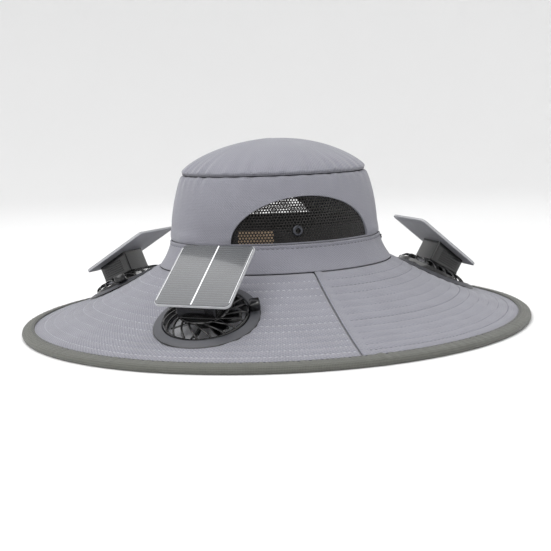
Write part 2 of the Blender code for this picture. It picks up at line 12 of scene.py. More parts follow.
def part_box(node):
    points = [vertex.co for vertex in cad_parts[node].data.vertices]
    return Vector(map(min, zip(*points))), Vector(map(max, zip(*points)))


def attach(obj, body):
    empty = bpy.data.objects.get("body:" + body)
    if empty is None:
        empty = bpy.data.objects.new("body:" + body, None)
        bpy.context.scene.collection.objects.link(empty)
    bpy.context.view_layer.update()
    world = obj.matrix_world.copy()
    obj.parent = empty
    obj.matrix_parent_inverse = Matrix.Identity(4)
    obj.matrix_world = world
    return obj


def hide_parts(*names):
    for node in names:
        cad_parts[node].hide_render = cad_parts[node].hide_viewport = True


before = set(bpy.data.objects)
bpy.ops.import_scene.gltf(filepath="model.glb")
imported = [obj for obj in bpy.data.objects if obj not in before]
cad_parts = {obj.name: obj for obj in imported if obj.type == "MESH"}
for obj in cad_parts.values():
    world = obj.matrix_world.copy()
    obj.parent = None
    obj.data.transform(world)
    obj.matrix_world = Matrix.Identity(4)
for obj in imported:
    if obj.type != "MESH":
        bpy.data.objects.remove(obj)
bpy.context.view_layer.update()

bl_info = {
    "name": "Solar fan hat",
    "version": (1, 0, 0),
    "blender": (4, 5, 0),
    "location": "3D View > Sidebar > Hat",
    "description": "Builds a cloth sun hat with solar-powered fans around its packed model",
    "category": "Object",
}

HAT = "hat"

# Mesh rows drawn for each stitched row of the brim, and its plain margin in rows
STEPS_A_ROW = 7
ROW_MARGIN = 0.4
# Height of the cord toggle against its drawn shape
TOGGLE_SQUASH = 0.86

# Side of the crown: height as a share of the side's height, size of the outline as a share of the root's
CROWN_SECTIONS = (
    (0.00, 1.000),
    (0.10, 0.952),
    (0.28, 0.898),
    (0.52, 0.885),
    (0.76, 0.851),
    (0.93, 0.812),
    (1.00, 0.789),
)

# Fan units: angle round the hat from +X, lean beyond the brim's own slope
FAN_UNITS = {
    "left": (math.radians(-39), math.radians(-1)),
    "right": (math.radians(-133), math.radians(-1)),
    "back": (math.radians(90), math.radians(7)),
}

# Impeller blade: share of the blade's reach, chord as a share of the widest, pitch
BLADE_SECTIONS = (
    (0.0, 0.80, math.radians(48)),
    (0.5, 1.00, math.radians(38)),
    (1.0, 0.90, math.radians(28)),
)


def to_linear(code):
    """Linear colour of an sRGB hex code."""
    channels = [int(code[i:i + 2], 16) / 255 for i in (1, 3, 5)]
    return tuple(c / 12.92 if c <= 0.04045 else ((c + 0.055) / 1.055) ** 2.4 for c in channels)


def length(label, description, metres):
    return FloatProperty(
        name=label, description=description, default=metres, min=0.0, precision=4, unit="LENGTH"
    )


def colour(label, description, code):
    return FloatVectorProperty(
        name=label, description=description, default=to_linear(code), size=3, min=0.0, max=1.0,
        subtype="COLOR",
    )


class HatSizes(bpy.types.PropertyGroup):
    """Sizes of the cloth parts, in metres."""

    root_half_length: length("Root half length", "Half of the crown's foot along the hat", 0.102)
    root_half_width: length("Root half width", "Half of the crown's foot across the hat", 0.089)
    edge_half_length: length("Edge half length", "Half of the brim along the hat", 0.2195)
    edge_half_width: length("Edge half width", "Half of the brim across the hat", 0.208)
    root_height: length("Root height", "Height of the brim's root over the floor", 0.0515)
    brim_drop: length("Brim drop", "Fall of the brim from its root to its edge", 0.048)
    brim_sag: length("Brim sag", "Sag of the brim half way out", 0.006)
    brim_cloth: length("Brim cloth", "Thickness of the quilted brim", 0.0022)
    band_height: length("Band height", "Height of the sewn band", 0.0215)
    side_height: length("Side height", "Height of the crown's side, band included", 0.0763)
    dome_height: length("Dome height", "Rise of the puffed top", 0.0272)
    seam_upright: length("Seam upright", "Upright start of the top at its seam", 0.0015)
    cloth: length("Cloth", "Thickness of the crown's cloth", 0.0015)
    clearance: length("Clearance", "Gap between pieces that touch", 0.0003)
    binding_width: length("Binding width", "Reach of the edge tape over the brim", 0.0095)
    vent_half_length: length("Vent half length", "Half of the half-moon vent's chord", 0.060)
    vent_rise: length("Vent rise", "Height of the half-moon vent", 0.037)
    vent_sill: length("Vent sill", "Cloth between the band and the vent", 0.0015)
    sweatband_height: length("Sweatband height", "Height of the band inside", 0.034)


class StitchSizes(bpy.types.PropertyGroup):
    """Sizes of the sewing and of the net, in metres."""

    rows: IntProperty(name="Rows", description="Stitched rows round the brim", default=14, min=1)
    pitch: length("Stitch pitch", "Distance from stitch to stitch", 0.0040)
    length: length("Stitch length", "Length of a stitch that shows", 0.0026)
    width: length("Stitch width", "Thickness of the sewing thread", 0.0007)
    puff: length("Channel puff", "Height of the padded channel between two rows", 0.0007)
    net_pitch: length("Net pitch", "Distance from hole to hole in the net", 0.0026)
    net_bar: length("Net bar", "Width of the net's bars", 0.00085)


class FanSizes(bpy.types.PropertyGroup):
    """Sizes of a fan unit, in metres."""

    share: FloatProperty(
        name="Place on the brim", description="Where the shaft crosses the brim, from root to edge",
        default=0.42, min=0.0, max=1.0, subtype="FACTOR",
    )
    hole: length("Hole radius", "Radius of the hole in the brim", 0.0333)
    flange: length("Flange radius", "Radius of the soft ring on the brim", 0.041)
    clamp: length("Clamp radius", "Radius of the ring under the brim", 0.038)
    ring_top: length("Ring top", "Top of the cage's ring over the brim", 0.0036)
    ring_depth: length("Ring depth", "Depth of the cage's ring under the brim", 0.008)
    ring_wall: length("Ring wall", "Wall of the cage's ring", 0.0017)
    cage_height: length("Cage height", "Top of the cage's hub over the brim", 0.0098)
    hub: length("Hub radius", "Radius of the cage's hub", 0.020)
    ribs: IntProperty(name="Ribs", description="Ribs of the cage", default=20, min=3)
    rib_width: length("Rib width", "Width of a rib", 0.0022)
    rib_thickness: length("Rib thickness", "Thickness of a rib", 0.0014)
    blades: IntProperty(name="Blades", description="Blades of the impeller", default=7, min=2)
    blade_radius: length("Blade radius", "Reach of the impeller's blades", 0.0275)
    housing: length("Housing side", "Side of the square housing", 0.031)
    panel_length: length("Panel length", "Length of the solar panel down the slope", 0.070)
    panel_width: length("Panel width", "Width of the solar panel", 0.060)
    panel_thickness: length("Panel thickness", "Thickness of the solar panel", 0.0024)
    panel_corner: length("Panel corner", "Radius of the solar panel's corners", 0.0045)
    panel_height: length("Panel height", "Underside of the panel over the brim, on the shaft", 0.0265)
    panel_offset: length("Panel offset", "Shift of the panel up the slope", 0.014)
    panel_tilt: FloatProperty(
        name="Panel tilt", description="Tilt of the panel against the fan", default=math.radians(9),
        subtype="ANGLE",
    )


class HatColours(bpy.types.PropertyGroup):
    """Colours of the cloth, plastic and panels."""

    cloth: colour("Cloth", "Grey polyester cloth", "#86868F")
    # Thread colours: the front copy is the light grey thread painted lighter still, a painted highlight for
    # the light on the front half; the back copy is the same thread painted darker, painted shade for the back
    # half
    thread: colour("Thread", "Sewing thread on the front of the brim", "#C4C5CC")
    shaded_thread: colour("Back thread", "Sewing thread on the back of the brim", "#5D5D66")
    tape: colour("Tape", "Ribbed edge tape", "#5E5F59")
    net: colour("Net", "Vent net", "#1D1B19")
    sweatband: colour("Sweatband", "Cloth of the band inside", "#232326")
    lining: colour("Lining", "Cotton tab on the sweatband", "#A58E74")
    plastic: colour("Plastic", "Moulded cages, impellers and housings", "#0B0B0C")
    flange: colour("Flange", "Soft rings on the brim", "#4B4C51")
    cells: colour("Cells", "Solar cells", "#2A2E34")
    silver: colour("Silver", "Printed bus bar and fingers", "#D9DADC")
    board: colour("Board", "Sides and underside of the panels", "#B4B5B8")
    # Pale disc under each impeller: a guessed guard net, made near white as painted light that stands for the
    # lit floor seen from beneath through the open fan
    painted_light_gauze: colour("Gauze", "Pale gauze under the impellers", "#E6E6EA")


class StageSettings(bpy.types.PropertyGroup):
    """Camera and light of the studio."""

    azimuth: FloatProperty(name="Azimuth", description="Camera's turn round the hat",
                           default=math.radians(70.681), subtype="ANGLE")
    elevation: FloatProperty(name="Elevation", description="Camera's height over the horizon",
                             default=math.radians(8.455), subtype="ANGLE")
    roll: FloatProperty(name="Roll", description="Camera's roll", default=math.radians(-1.882),
                        subtype="ANGLE")
    distance: length("Distance", "Camera's distance from its target", 0.8902)
    lens: FloatProperty(name="Lens", description="Focal length in millimetres", default=66.09, min=1.0)
    target_side: FloatProperty(name="Target side", description="Target's shift to the camera's right",
                               default=-0.0013, unit="LENGTH")
    target_height: length("Target height", "Height of the camera's target", 0.0369)
    floor: colour("Floor", "Studio floor and backdrop", "#F4F4F4")


# Shapes ---------------------------------------------------------------------


def read_curve(rows, at):
    """Values of a two-column table at an array of places, on a smooth curve through its rows."""
    places, values = np.array(rows).T
    slopes = np.gradient(values, places)
    low = np.clip(np.searchsorted(places, at) - 1, 0, len(places) - 2)
    span = places[low + 1] - places[low]
    t = np.clip((at - places[low]) / span, 0.0, 1.0)
    return (
        values[low] * (1 + 2 * t) * (1 - t) ** 2
        + values[low + 1] * t * t * (3 - 2 * t)
        + span * (slopes[low] * t * (1 - t) ** 2 - slopes[low + 1] * t * t * (1 - t))
    )


def spread(low, high, count):
    return np.linspace(low, high, count)


def round_angles(count):
    return spread(0.0, math.tau, count + 1)[:-1]


def ripple(angles, waves, seed):
    """Soft random waves round the hat, between about -1 and 1, with a few wave counts near waves."""
    chance = np.random.default_rng(seed)
    total = np.zeros_like(angles)
    for _ in range(5):
        count = round(waves * chance.uniform(0.6, 1.5))
        total += np.sin(count * angles + chance.uniform(0, math.tau)) * chance.uniform(0.3, 0.6)
    return total


def crown_points(sizes, angles, heights):
    """Grid of points on the crown's side, heights measured from the brim's root."""
    share = read_curve(CROWN_SECTIONS, heights / sizes.side_height)
    return np.stack(np.broadcast_arrays(
        sizes.root_half_width * share * np.cos(angles),
        sizes.root_half_length * share * np.sin(angles),
        sizes.root_height + heights,
    ), axis=-1)


def brim_points(sizes, angles, shares):
    """Points on the brim's upper face, a share of the way from its root to its edge."""
    root_width = sizes.root_half_width + sizes.clearance
    root_length = sizes.root_half_length + sizes.clearance
    return np.stack(np.broadcast_arrays(
        (root_width + (sizes.edge_half_width - root_width) * shares) * np.cos(angles),
        (root_length + (sizes.edge_half_length - root_length) * shares) * np.sin(angles),
        sizes.root_height - sizes.brim_drop * shares - sizes.brim_sag * 4 * shares * (1 - shares),
    ), axis=-1)


def grid_normals(points, wrap=False):
    """Unit normals of a grid of points, out of the side that its quads face."""
    if wrap:
        across = np.roll(points, -1, axis=1) - np.roll(points, 1, axis=1)
    else:
        across = np.gradient(points, axis=1)
    normals = np.cross(across, np.gradient(points, axis=0))
    return normals / np.maximum(np.linalg.norm(normals, axis=-1, keepdims=True), 1e-12)


def lifted(points, lift, wrap=False):
    return points + grid_normals(points, wrap) * np.broadcast_to(lift, points.shape[:2])[..., None]


def grid_mesh(name, points, uv=None, wrap=False, keep=None, wrap_rows=False):
    """Quads through a grid of points, with a map in metres; keep marks the quads that stay."""
    rows, columns = points.shape[:2]
    index = np.arange(rows * columns).reshape(rows, columns)
    if wrap:
        index = np.concatenate((index, index[:, :1]), axis=1)
    if wrap_rows:
        index = np.concatenate((index, index[:1]), axis=0)
    corners = lambda grid: np.stack((grid[:-1, :-1], grid[:-1, 1:], grid[1:, 1:], grid[1:, :-1]), axis=2)
    quads = corners(index)
    keep = np.ones(quads.shape[:2], bool) if keep is None else keep
    mesh = bpy.data.meshes.new(name)
    mesh.from_pydata(points.reshape(-1, 3).tolist(), [], quads[keep].reshape(-1, 4).tolist())
    if uv is not None:
        layer = mesh.uv_layers.new(name="metres")
        layer.data.foreach_set("uv", corners(uv)[keep].astype(np.float32).ravel())
    if keep is not None:
        tidy = bmesh.new()
        tidy.from_mesh(mesh)
        bmesh.ops.delete(tidy, geom=[v for v in tidy.verts if not v.link_faces], context="VERTS")
        tidy.to_mesh(mesh)
        tidy.free()
    mesh.shade_smooth()
    return mesh


def metres_map(points, wrap=False):
    """Map of a grid in metres: lengths round its middle row, and along its middle column."""
    rows, columns = points.shape[:2]
    ring = points[rows // 2]
    if wrap:
        ring = np.concatenate((ring, ring[:1]))
    line = points[:, columns // 4]
    round_it = np.concatenate(([0.0], np.cumsum(np.linalg.norm(np.diff(ring, axis=0), axis=1))))
    along = np.concatenate(([0.0], np.cumsum(np.linalg.norm(np.diff(line, axis=0), axis=1))))
    return np.stack(np.meshgrid(round_it, along), axis=-1)


def joined(name, parts):
    """One mesh from several, each given as (mesh, matrix)."""
    shape = bmesh.new()
    for mesh, matrix in parts:
        copy = mesh.copy()
        copy.transform(matrix)
        shape.from_mesh(copy)
        bpy.data.meshes.remove(copy)
    mesh = bpy.data.meshes.new(name)
    shape.to_mesh(mesh)
    shape.free()
    return mesh


def turned_mesh(name, profile, segments):
    """Closed shell of a profile of (radius, height) points, listed down its outer side, about Z."""
    turns = round_angles(segments)
    radius, height = np.array(profile).T
    points = np.stack(np.broadcast_arrays(
        radius[:, None] * np.cos(turns), radius[:, None] * np.sin(turns), height[:, None]
    ), axis=-1)
    mesh = grid_mesh(name, points, metres_map(points, True), wrap=True)
    shape = bmesh.new()
    shape.from_mesh(mesh)
    bmesh.ops.remove_doubles(shape, verts=shape.verts, dist=1e-6)
    bmesh.ops.recalc_face_normals(shape, faces=shape.faces)
    shape.to_mesh(mesh)
    shape.free()
    mesh.shade_smooth()
    mesh.set_sharp_from_angle(angle=math.radians(40))
    return mesh


def block_mesh(name, size, bevel, segments=3, upright=0.0):
    """Block with rounded edges, centred; upright gives its standing edges a larger radius."""
    shape = bmesh.new()
    bmesh.ops.create_cube(shape, size=1.0)
    bmesh.ops.scale(shape, vec=size, verts=shape.verts)
    if upright:
        standing = [e for e in shape.edges
                    if abs(e.verts[0].co.z - e.verts[1].co.z) > size[2] / 2]
        bmesh.ops.bevel(shape, geom=standing, offset=upright, segments=6, profile=0.5, affect="EDGES")
        rims = [e for e in shape.edges if abs(abs(e.verts[0].co.z) - size[2] / 2) < 1e-7
                and abs(e.verts[0].co.z - e.verts[1].co.z) < 1e-7]
        bmesh.ops.bevel(shape, geom=rims, offset=bevel, segments=segments, profile=0.5, affect="EDGES")
    else:
        bmesh.ops.bevel(shape, geom=shape.edges[:], offset=bevel, segments=segments, profile=0.5,
                        affect="EDGES")
    mesh = bpy.data.meshes.new(name)
    shape.to_mesh(mesh)
    shape.free()
    mesh.shade_smooth()
    mesh.set_sharp_from_angle(angle=math.radians(40))
    return mesh


def stitch_mesh(name, paths, sizes):
    """Small raised stitches along paths, each given as (points, normals)."""
    around = round_angles(5)
    # Shares of the stitch's length, width and height at its tip, middle and other tip
    ends = np.array([(-0.5, 0.35, -0.3), (0.0, 1.0, 0.0), (0.5, 0.35, -0.3)])
    template = np.array([
        (end[0] * sizes.length,
         math.cos(a) * end[1] * sizes.width / 2,
         (math.sin(a) * end[1] + end[2]) * sizes.width / 2)
        for end in ends for a in around
    ])
    quads = [[r * 5 + i, r * 5 + (i + 1) % 5, r * 5 + 5 + (i + 1) % 5, r * 5 + 5 + i]
             for r in range(2) for i in range(5)]
    caps = [[4, 3, 2, 1, 0], [10, 11, 12, 13, 14]]
    points, faces = [], []
    for line, normals in paths:
        steps = np.linalg.norm(np.diff(line, axis=0), axis=1)
        at = np.concatenate(([0.0], np.cumsum(steps)))
        count = int((at[-1] - sizes.length) / sizes.pitch)
        if count < 1:
            continue
        middles = (np.arange(count) + 0.5) * at[-1] / count
        pick = lambda values: np.stack([np.interp(middles, at, values[:, i]) for i in range(3)], axis=1)
        centre = pick(line)
        tangent = pick(np.gradient(line, axis=0))
        tangent /= np.linalg.norm(tangent, axis=1, keepdims=True)
        normal = pick(normals)
        side = np.cross(normal, tangent)
        side /= np.linalg.norm(side, axis=1, keepdims=True)
        normal = np.cross(tangent, side)
        base = sum(len(group) for group in points)
        stack = (centre[:, None] + template[None, :, :1] * tangent[:, None]
                 + template[None, :, 1:2] * side[:, None] + template[None, :, 2:] * normal[:, None])
        points.append(stack.reshape(-1, 3))
        for i in range(count):
            start = base + i * len(template)
            faces += [[start + corner for corner in face] for face in quads + caps]
    mesh = bpy.data.meshes.new(name)
    mesh.from_pydata(np.concatenate(points).tolist(), [], faces)
    mesh.shade_smooth()
    return mesh


def bar_mesh(name, sections):
    """Closed bar through sections, an array (steps, corners, 3)."""
    mesh = grid_mesh(name, sections, wrap=True)
    shape = bmesh.new()
    shape.from_mesh(mesh)
    shape.verts.ensure_lookup_table()
    corners = sections.shape[1]
    last = len(shape.verts) - corners
    shape.faces.new([shape.verts[i] for i in range(corners)][::-1])
    shape.faces.new([shape.verts[last + i] for i in range(corners)])
    bmesh.ops.recalc_face_normals(shape, faces=shape.faces)
    shape.to_mesh(mesh)
    shape.free()
    mesh.shade_smooth()
    return mesh


def add_solidify(piece, thickness, offset=-1.0):
    modifier = piece.modifiers.new("Thickness", "SOLIDIFY")
    modifier.thickness = thickness
    modifier.offset = offset


def apply_modifiers(piece):
    """Turns the piece's modifiers into its own mesh."""
    bpy.context.view_layer.update()
    evaluated = piece.evaluated_get(bpy.context.evaluated_depsgraph_get())
    mesh = bpy.data.meshes.new_from_object(evaluated)
    piece.modifiers.clear()
    piece.data = mesh


def add_piece(name, mesh, material, nodes=(), body=HAT, place=None):
    """Links a mesh as a piece of the hat that rides on a body and stands for its CAD nodes."""
    piece = bpy.data.objects.new(name, mesh)
    bpy.context.scene.collection.objects.link(piece)
    if not mesh.materials:
        mesh.materials.append(material)
    if place is not None:
        piece.matrix_world = place
    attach(piece, body)
    if nodes:
        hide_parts(*nodes)
    return piece


# Materials ------------------------------------------------------------------


def add_node(tree, kind, inputs=None, **settings):
    """Adds a node, with its settings, and its inputs as values or links."""
    node = tree.nodes.new(kind)
    for setting, value in settings.items():
        setattr(node, setting, value)
    for key, value in (inputs or {}).items():
        socket = node.inputs[key]
        if isinstance(value, bpy.types.NodeSocket):
            tree.links.new(value, socket)
        else:
            socket.default_value = value
    return node


def new_material(name, **values):
    """Material with a Principled shader whose even values sit on its own sockets."""
    material = bpy.data.materials.new(name)
    material.use_nodes = True
    shader = material.node_tree.nodes["Principled BSDF"]
    for key, value in values.items():
        shader.inputs[key.replace("_", " ")].default_value = value
    return material, material.node_tree, shader


def shade(tint, factor):
    return (*(channel * factor for channel in tint), 1.0)


def woven(name, tint, thread, rib, contrast, bump, **values):
    """Woven polyester: matt, with a fine check of threads, diagonal ribs and a soft mottle."""
    material, tree, shader = new_material(name, Roughness=0.82, IOR=1.46, **values)
    shader.inputs["Sheen Weight"].default_value = 0.25
    shader.inputs["Sheen Roughness"].default_value = 0.5
    where = add_node(tree, "ShaderNodeUVMap", uv_map="metres").outputs["UV"]
    # A Wave texture's band is 0.314 / scale long, and its diagonal band 0.628 / scale
    warp = add_node(tree, "ShaderNodeTexWave", {"Vector": where, "Scale": 0.314 / thread},
                    bands_direction="X")
    weft = add_node(tree, "ShaderNodeTexWave", {"Vector": where, "Scale": 0.314 / thread},
                    bands_direction="Y")
    ribs = add_node(tree, "ShaderNodeTexWave", {"Vector": where, "Scale": 0.628 / rib,
                                                "Distortion": 0.6, "Detail": 1.0},
                    bands_direction="DIAGONAL")
    grain = add_node(tree, "ShaderNodeTexNoise", {"Vector": where, "Scale": 0.9 / thread, "Detail": 2.0})
    mottle = add_node(tree, "ShaderNodeTexNoise", {"Vector": where, "Scale": 45.0, "Detail": 3.0})
    check = add_node(tree, "ShaderNodeMath", {0: warp.outputs["Fac"], 1: weft.outputs["Fac"]},
                     operation="MULTIPLY")
    weave = add_node(tree, "ShaderNodeMath", {0: check.outputs[0], 1: ribs.outputs["Fac"]},
                     operation="ADD")
    grained = add_node(tree, "ShaderNodeMath", {0: grain.outputs["Fac"], 1: weave.outputs[0]},
                       operation="ADD")
    both = add_node(tree, "ShaderNodeMath", {0: grained.outputs[0], 1: mottle.outputs["Fac"]},
                    operation="ADD")
    ramp = add_node(tree, "ShaderNodeMapRange", {"Value": both.outputs[0], "From Min": 0.6,
                                                 "From Max": 2.6})
    mix = add_node(tree, "ShaderNodeMix", {0: ramp.outputs[0], 6: shade(tint, 1 - contrast),
                                           7: shade(tint, 1 + contrast)}, data_type="RGBA")
    tree.links.new(mix.outputs[2], shader.inputs["Base Color"])
    relief = add_node(tree, "ShaderNodeBump", {"Height": grained.outputs[0], "Strength": 0.6,
                                               "Distance": bump})
    tree.links.new(relief.outputs[0], shader.inputs["Normal"])
    return material


def thread_material(name, tint):
    """Spun polyester thread: a soft sheen, with a light twist along it."""
    material, tree, shader = new_material(name, Roughness=0.6, IOR=1.46)
    where = add_node(tree, "ShaderNodeTexCoord").outputs["Object"]
    twist = add_node(tree, "ShaderNodeTexNoise", {"Vector": where, "Scale": 900.0, "Detail": 1.0})
    mix = add_node(tree, "ShaderNodeMix", {0: twist.outputs["Fac"], 6: shade(tint, 0.75),
                                           7: shade(tint, 1.15)}, data_type="RGBA")
    tree.links.new(mix.outputs[2], shader.inputs["Base Color"])
    return material


def ribbed_tape(name, tint):
    """Grosgrain edge tape: matt, with fine ribs across it and a darker mottle where it is handled."""
    material, tree, shader = new_material(name, Roughness=0.78, IOR=1.46)
    shader.inputs["Sheen Weight"].default_value = 0.2
    where = add_node(tree, "ShaderNodeUVMap", uv_map="metres").outputs["UV"]
    # Ribs of 1.1 mm; the real ones are finer than the render can show
    ribs = add_node(tree, "ShaderNodeTexWave", {"Vector": where, "Scale": 0.314 / 0.0011,
                                                "Distortion": 0.4}, bands_direction="X")
    lines = add_node(tree, "ShaderNodeTexWave", {"Vector": where, "Scale": 0.314 / 0.0016},
                     bands_direction="Y")
    mottle = add_node(tree, "ShaderNodeTexNoise", {"Vector": where, "Scale": 90.0, "Detail": 4.0})
    both = add_node(tree, "ShaderNodeMath", {0: ribs.outputs["Fac"], 1: lines.outputs["Fac"]},
                    operation="ADD")
    sum_up = add_node(tree, "ShaderNodeMath", {0: both.outputs[0], 1: mottle.outputs["Fac"]},
                      operation="ADD")
    ramp = add_node(tree, "ShaderNodeMapRange", {"Value": sum_up.outputs[0], "From Min": 0.4,
                                                 "From Max": 2.4})
    mix = add_node(tree, "ShaderNodeMix", {0: ramp.outputs[0], 6: shade(tint, 0.75),
                                           7: shade(tint, 1.2)}, data_type="RGBA")
    tree.links.new(mix.outputs[2], shader.inputs["Base Color"])
    relief = add_node(tree, "ShaderNodeBump", {"Height": both.outputs[0], "Strength": 0.5,
                                               "Distance": 0.0003})
    tree.links.new(relief.outputs[0], shader.inputs["Normal"])
    return material


def moulded(name, tint, roughness, grain, coat=0.0):
    """Injection-moulded plastic or rubber: even colour, with a faint moulded grain and handling marks."""
    material, tree, shader = new_material(name, IOR=1.5)
    shader.inputs["Coat Weight"].default_value = coat
    shader.inputs["Coat Roughness"].default_value = 0.08
    where = add_node(tree, "ShaderNodeTexCoord").outputs["Object"]
    marks = add_node(tree, "ShaderNodeTexNoise", {"Vector": where, "Scale": 160.0, "Detail": 5.0})
    wear = add_node(tree, "ShaderNodeMapRange", {"Value": marks.outputs["Fac"],
                                                 "To Min": roughness * 0.75, "To Max": roughness * 1.3})
    tree.links.new(wear.outputs[0], shader.inputs["Roughness"])
    mix = add_node(tree, "ShaderNodeMix", {0: marks.outputs["Fac"], 6: shade(tint, 0.85),
                                           7: shade(tint, 1.2)}, data_type="RGBA")
    tree.links.new(mix.outputs[2], shader.inputs["Base Color"])
    pebble = add_node(tree, "ShaderNodeTexVoronoi", {"Vector": where, "Scale": 1 / 0.0008})
    relief = add_node(tree, "ShaderNodeBump", {"Height": pebble.outputs["Distance"],
                                               "Strength": 0.3, "Distance": grain})
    tree.links.new(relief.outputs[0], shader.inputs["Normal"])
    return material


def solar_cells(name, tint, silver):
    """Cells under clear epoxy resin: dark, glossy, with fine printed fingers across the slope."""
    material, tree, shader = new_material(name, Roughness=0.22, IOR=1.55)
    shader.inputs["Coat Weight"].default_value = 0.6
    shader.inputs["Coat Roughness"].default_value = 0.06
    place = add_node(tree, "ShaderNodeUVMap", uv_map="metres").outputs["UV"]
    axes = add_node(tree, "ShaderNodeSeparateXYZ", {0: place})
    # Printed fingers every 2.5 mm, drawn 0.5 mm wide so that they show
    phase = add_node(tree, "ShaderNodeMath", {0: axes.outputs["X"], 1: 1 / 0.0025},
                     operation="MULTIPLY")
    part = add_node(tree, "ShaderNodeMath", {0: phase.outputs[0]}, operation="FRACT")
    finger = add_node(tree, "ShaderNodeMath", {0: part.outputs[0], 1: 0.2}, operation="LESS_THAN")
    cloud = add_node(tree, "ShaderNodeTexNoise", {"Vector": place, "Scale": 60.0, "Detail": 3.0})
    cell = add_node(tree, "ShaderNodeMix", {0: cloud.outputs["Fac"], 6: shade(tint, 0.8),
                                            7: shade(tint, 1.25)}, data_type="RGBA")
    faint = add_node(tree, "ShaderNodeMath", {0: finger.outputs[0], 1: 0.07}, operation="MULTIPLY")
    mix = add_node(tree, "ShaderNodeMix", {0: faint.outputs[0], 6: cell.outputs[2],
                                           7: shade(silver, 1.0)}, data_type="RGBA")
    tree.links.new(mix.outputs[2], shader.inputs["Base Color"])
    return material


def plain_metal(name, tint, roughness):
    """Printed or plated metal: satin, with faint drawn marks."""
    material, tree, shader = new_material(name, Metallic=1.0)
    where = add_node(tree, "ShaderNodeTexCoord").outputs["Object"]
    marks = add_node(tree, "ShaderNodeTexNoise", {"Vector": where, "Scale": 400.0, "Detail": 3.0})
    wear = add_node(tree, "ShaderNodeMapRange", {"Value": marks.outputs["Fac"],
                                                 "To Min": roughness * 0.7, "To Max": roughness * 1.3})
    tree.links.new(wear.outputs[0], shader.inputs["Roughness"])
    mix = add_node(tree, "ShaderNodeMix", {0: marks.outputs["Fac"], 6: shade(tint, 0.9),
                                           7: shade(tint, 1.05)}, data_type="RGBA")
    tree.links.new(mix.outputs[2], shader.inputs["Base Color"])
    return material


MATERIALS = {}


def make_materials(colours):
    """The hat's finishes, each named for what the real one is."""
    # Crown and band: fine polyester twill, whose ribs show as soft diagonals
    MATERIALS["twill"] = woven("polyester_twill", colours.cloth, 0.0012, 0.0021, 0.13, 0.00025)
    # Brim: the same cloth quilted in rows, coarser and more speckled to the eye
    MATERIALS["quilt"] = woven("quilted_polyester", colours.cloth, 0.0016, 0.0026, 0.26, 0.0004)
    MATERIALS["hem"] = woven("rolled_hem", colours.cloth, 0.0012, 0.0021, 0.13, 0.0001)
    # Two copies of one thread: the first painted lighter (painted highlight), the second painted darker
    # (painted shade)
    MATERIALS["thread"] = thread_material("spun_thread", colours.thread)
    MATERIALS["shaded_thread"] = thread_material("shaded_spun_thread", colours.shaded_thread)
    MATERIALS["tape"] = ribbed_tape("grosgrain_tape", colours.tape)
    # Net: knitted polyester, whose holes are cut in the mesh itself
    MATERIALS["net"] = woven("knitted_net", colours.net, 0.0009, 0.0018, 0.3, 0.0001)
    MATERIALS["sweatband"] = woven("brushed_polyester", colours.sweatband, 0.0012, 0.0024, 0.25, 0.0002)
    MATERIALS["lining"] = woven("cotton_tab", colours.lining, 0.0012, 0.0020, 0.3, 0.0002)
    # Near-white disc under the impellers: a guessed guard net, made pale as painted light for the floor seen
    # through the open fan
    MATERIALS["painted_light_gauze"] = woven("polyester_gauze", colours.painted_light_gauze, 0.0014, 0.0022, 0.25, 0.0002)
    # Cages and housings: polished ABS, glossy enough to mirror the studio
    MATERIALS["plastic"] = moulded("polished_abs", colours.plastic, 0.16, 0.00001, coat=0.4)
    # Rings on the brim: soft PVC with an even satin face
    MATERIALS["flange"] = moulded("soft_pvc", colours.flange, 0.5, 0.00004)
    MATERIALS["board"] = moulded("printed_board", colours.board, 0.45, 0.00001)
    MATERIALS["cells"] = solar_cells("resin_over_cells", colours.cells, colours.silver)
    MATERIALS["silver"] = plain_metal("printed_silver", colours.silver, 0.35)
    MATERIALS["eyelet"] = plain_metal("blackened_steel", colours.flange, 0.3)


# Cloth parts ----------------------------------------------------------------


def seam_tuck(distance, depth, reach):
    """How far cloth sinks towards a seam, from depth at the seam to nothing at reach."""
    return -depth * np.clip(1 - distance / reach, 0.0, 1.0) ** 2


def vent_prism(sizes):
    """Closed half-moon prism along X, through both sides of the crown."""
    sill = sizes.root_height + sizes.band_height + sizes.vent_sill
    turns = spread(0.0, math.pi, 97)
    outline = np.stack((sizes.vent_half_length * np.cos(turns), sill + sizes.vent_rise * np.sin(turns)),
                       axis=-1)
    shape = bmesh.new()
    face = shape.faces.new([shape.verts.new((-sizes.edge_half_width, y, z)) for y, z in outline])
    grown = bmesh.ops.extrude_face_region(shape, geom=[face])
    moved = [part for part in grown["geom"] if isinstance(part, bmesh.types.BMVert)]
    bmesh.ops.translate(shape, vec=(2 * sizes.edge_half_width, 0, 0), verts=moved)
    bmesh.ops.recalc_face_normals(shape, faces=shape.faces)
    mesh = bpy.data.meshes.new("vent_prism")
    shape.to_mesh(mesh)
    shape.free()
    return mesh


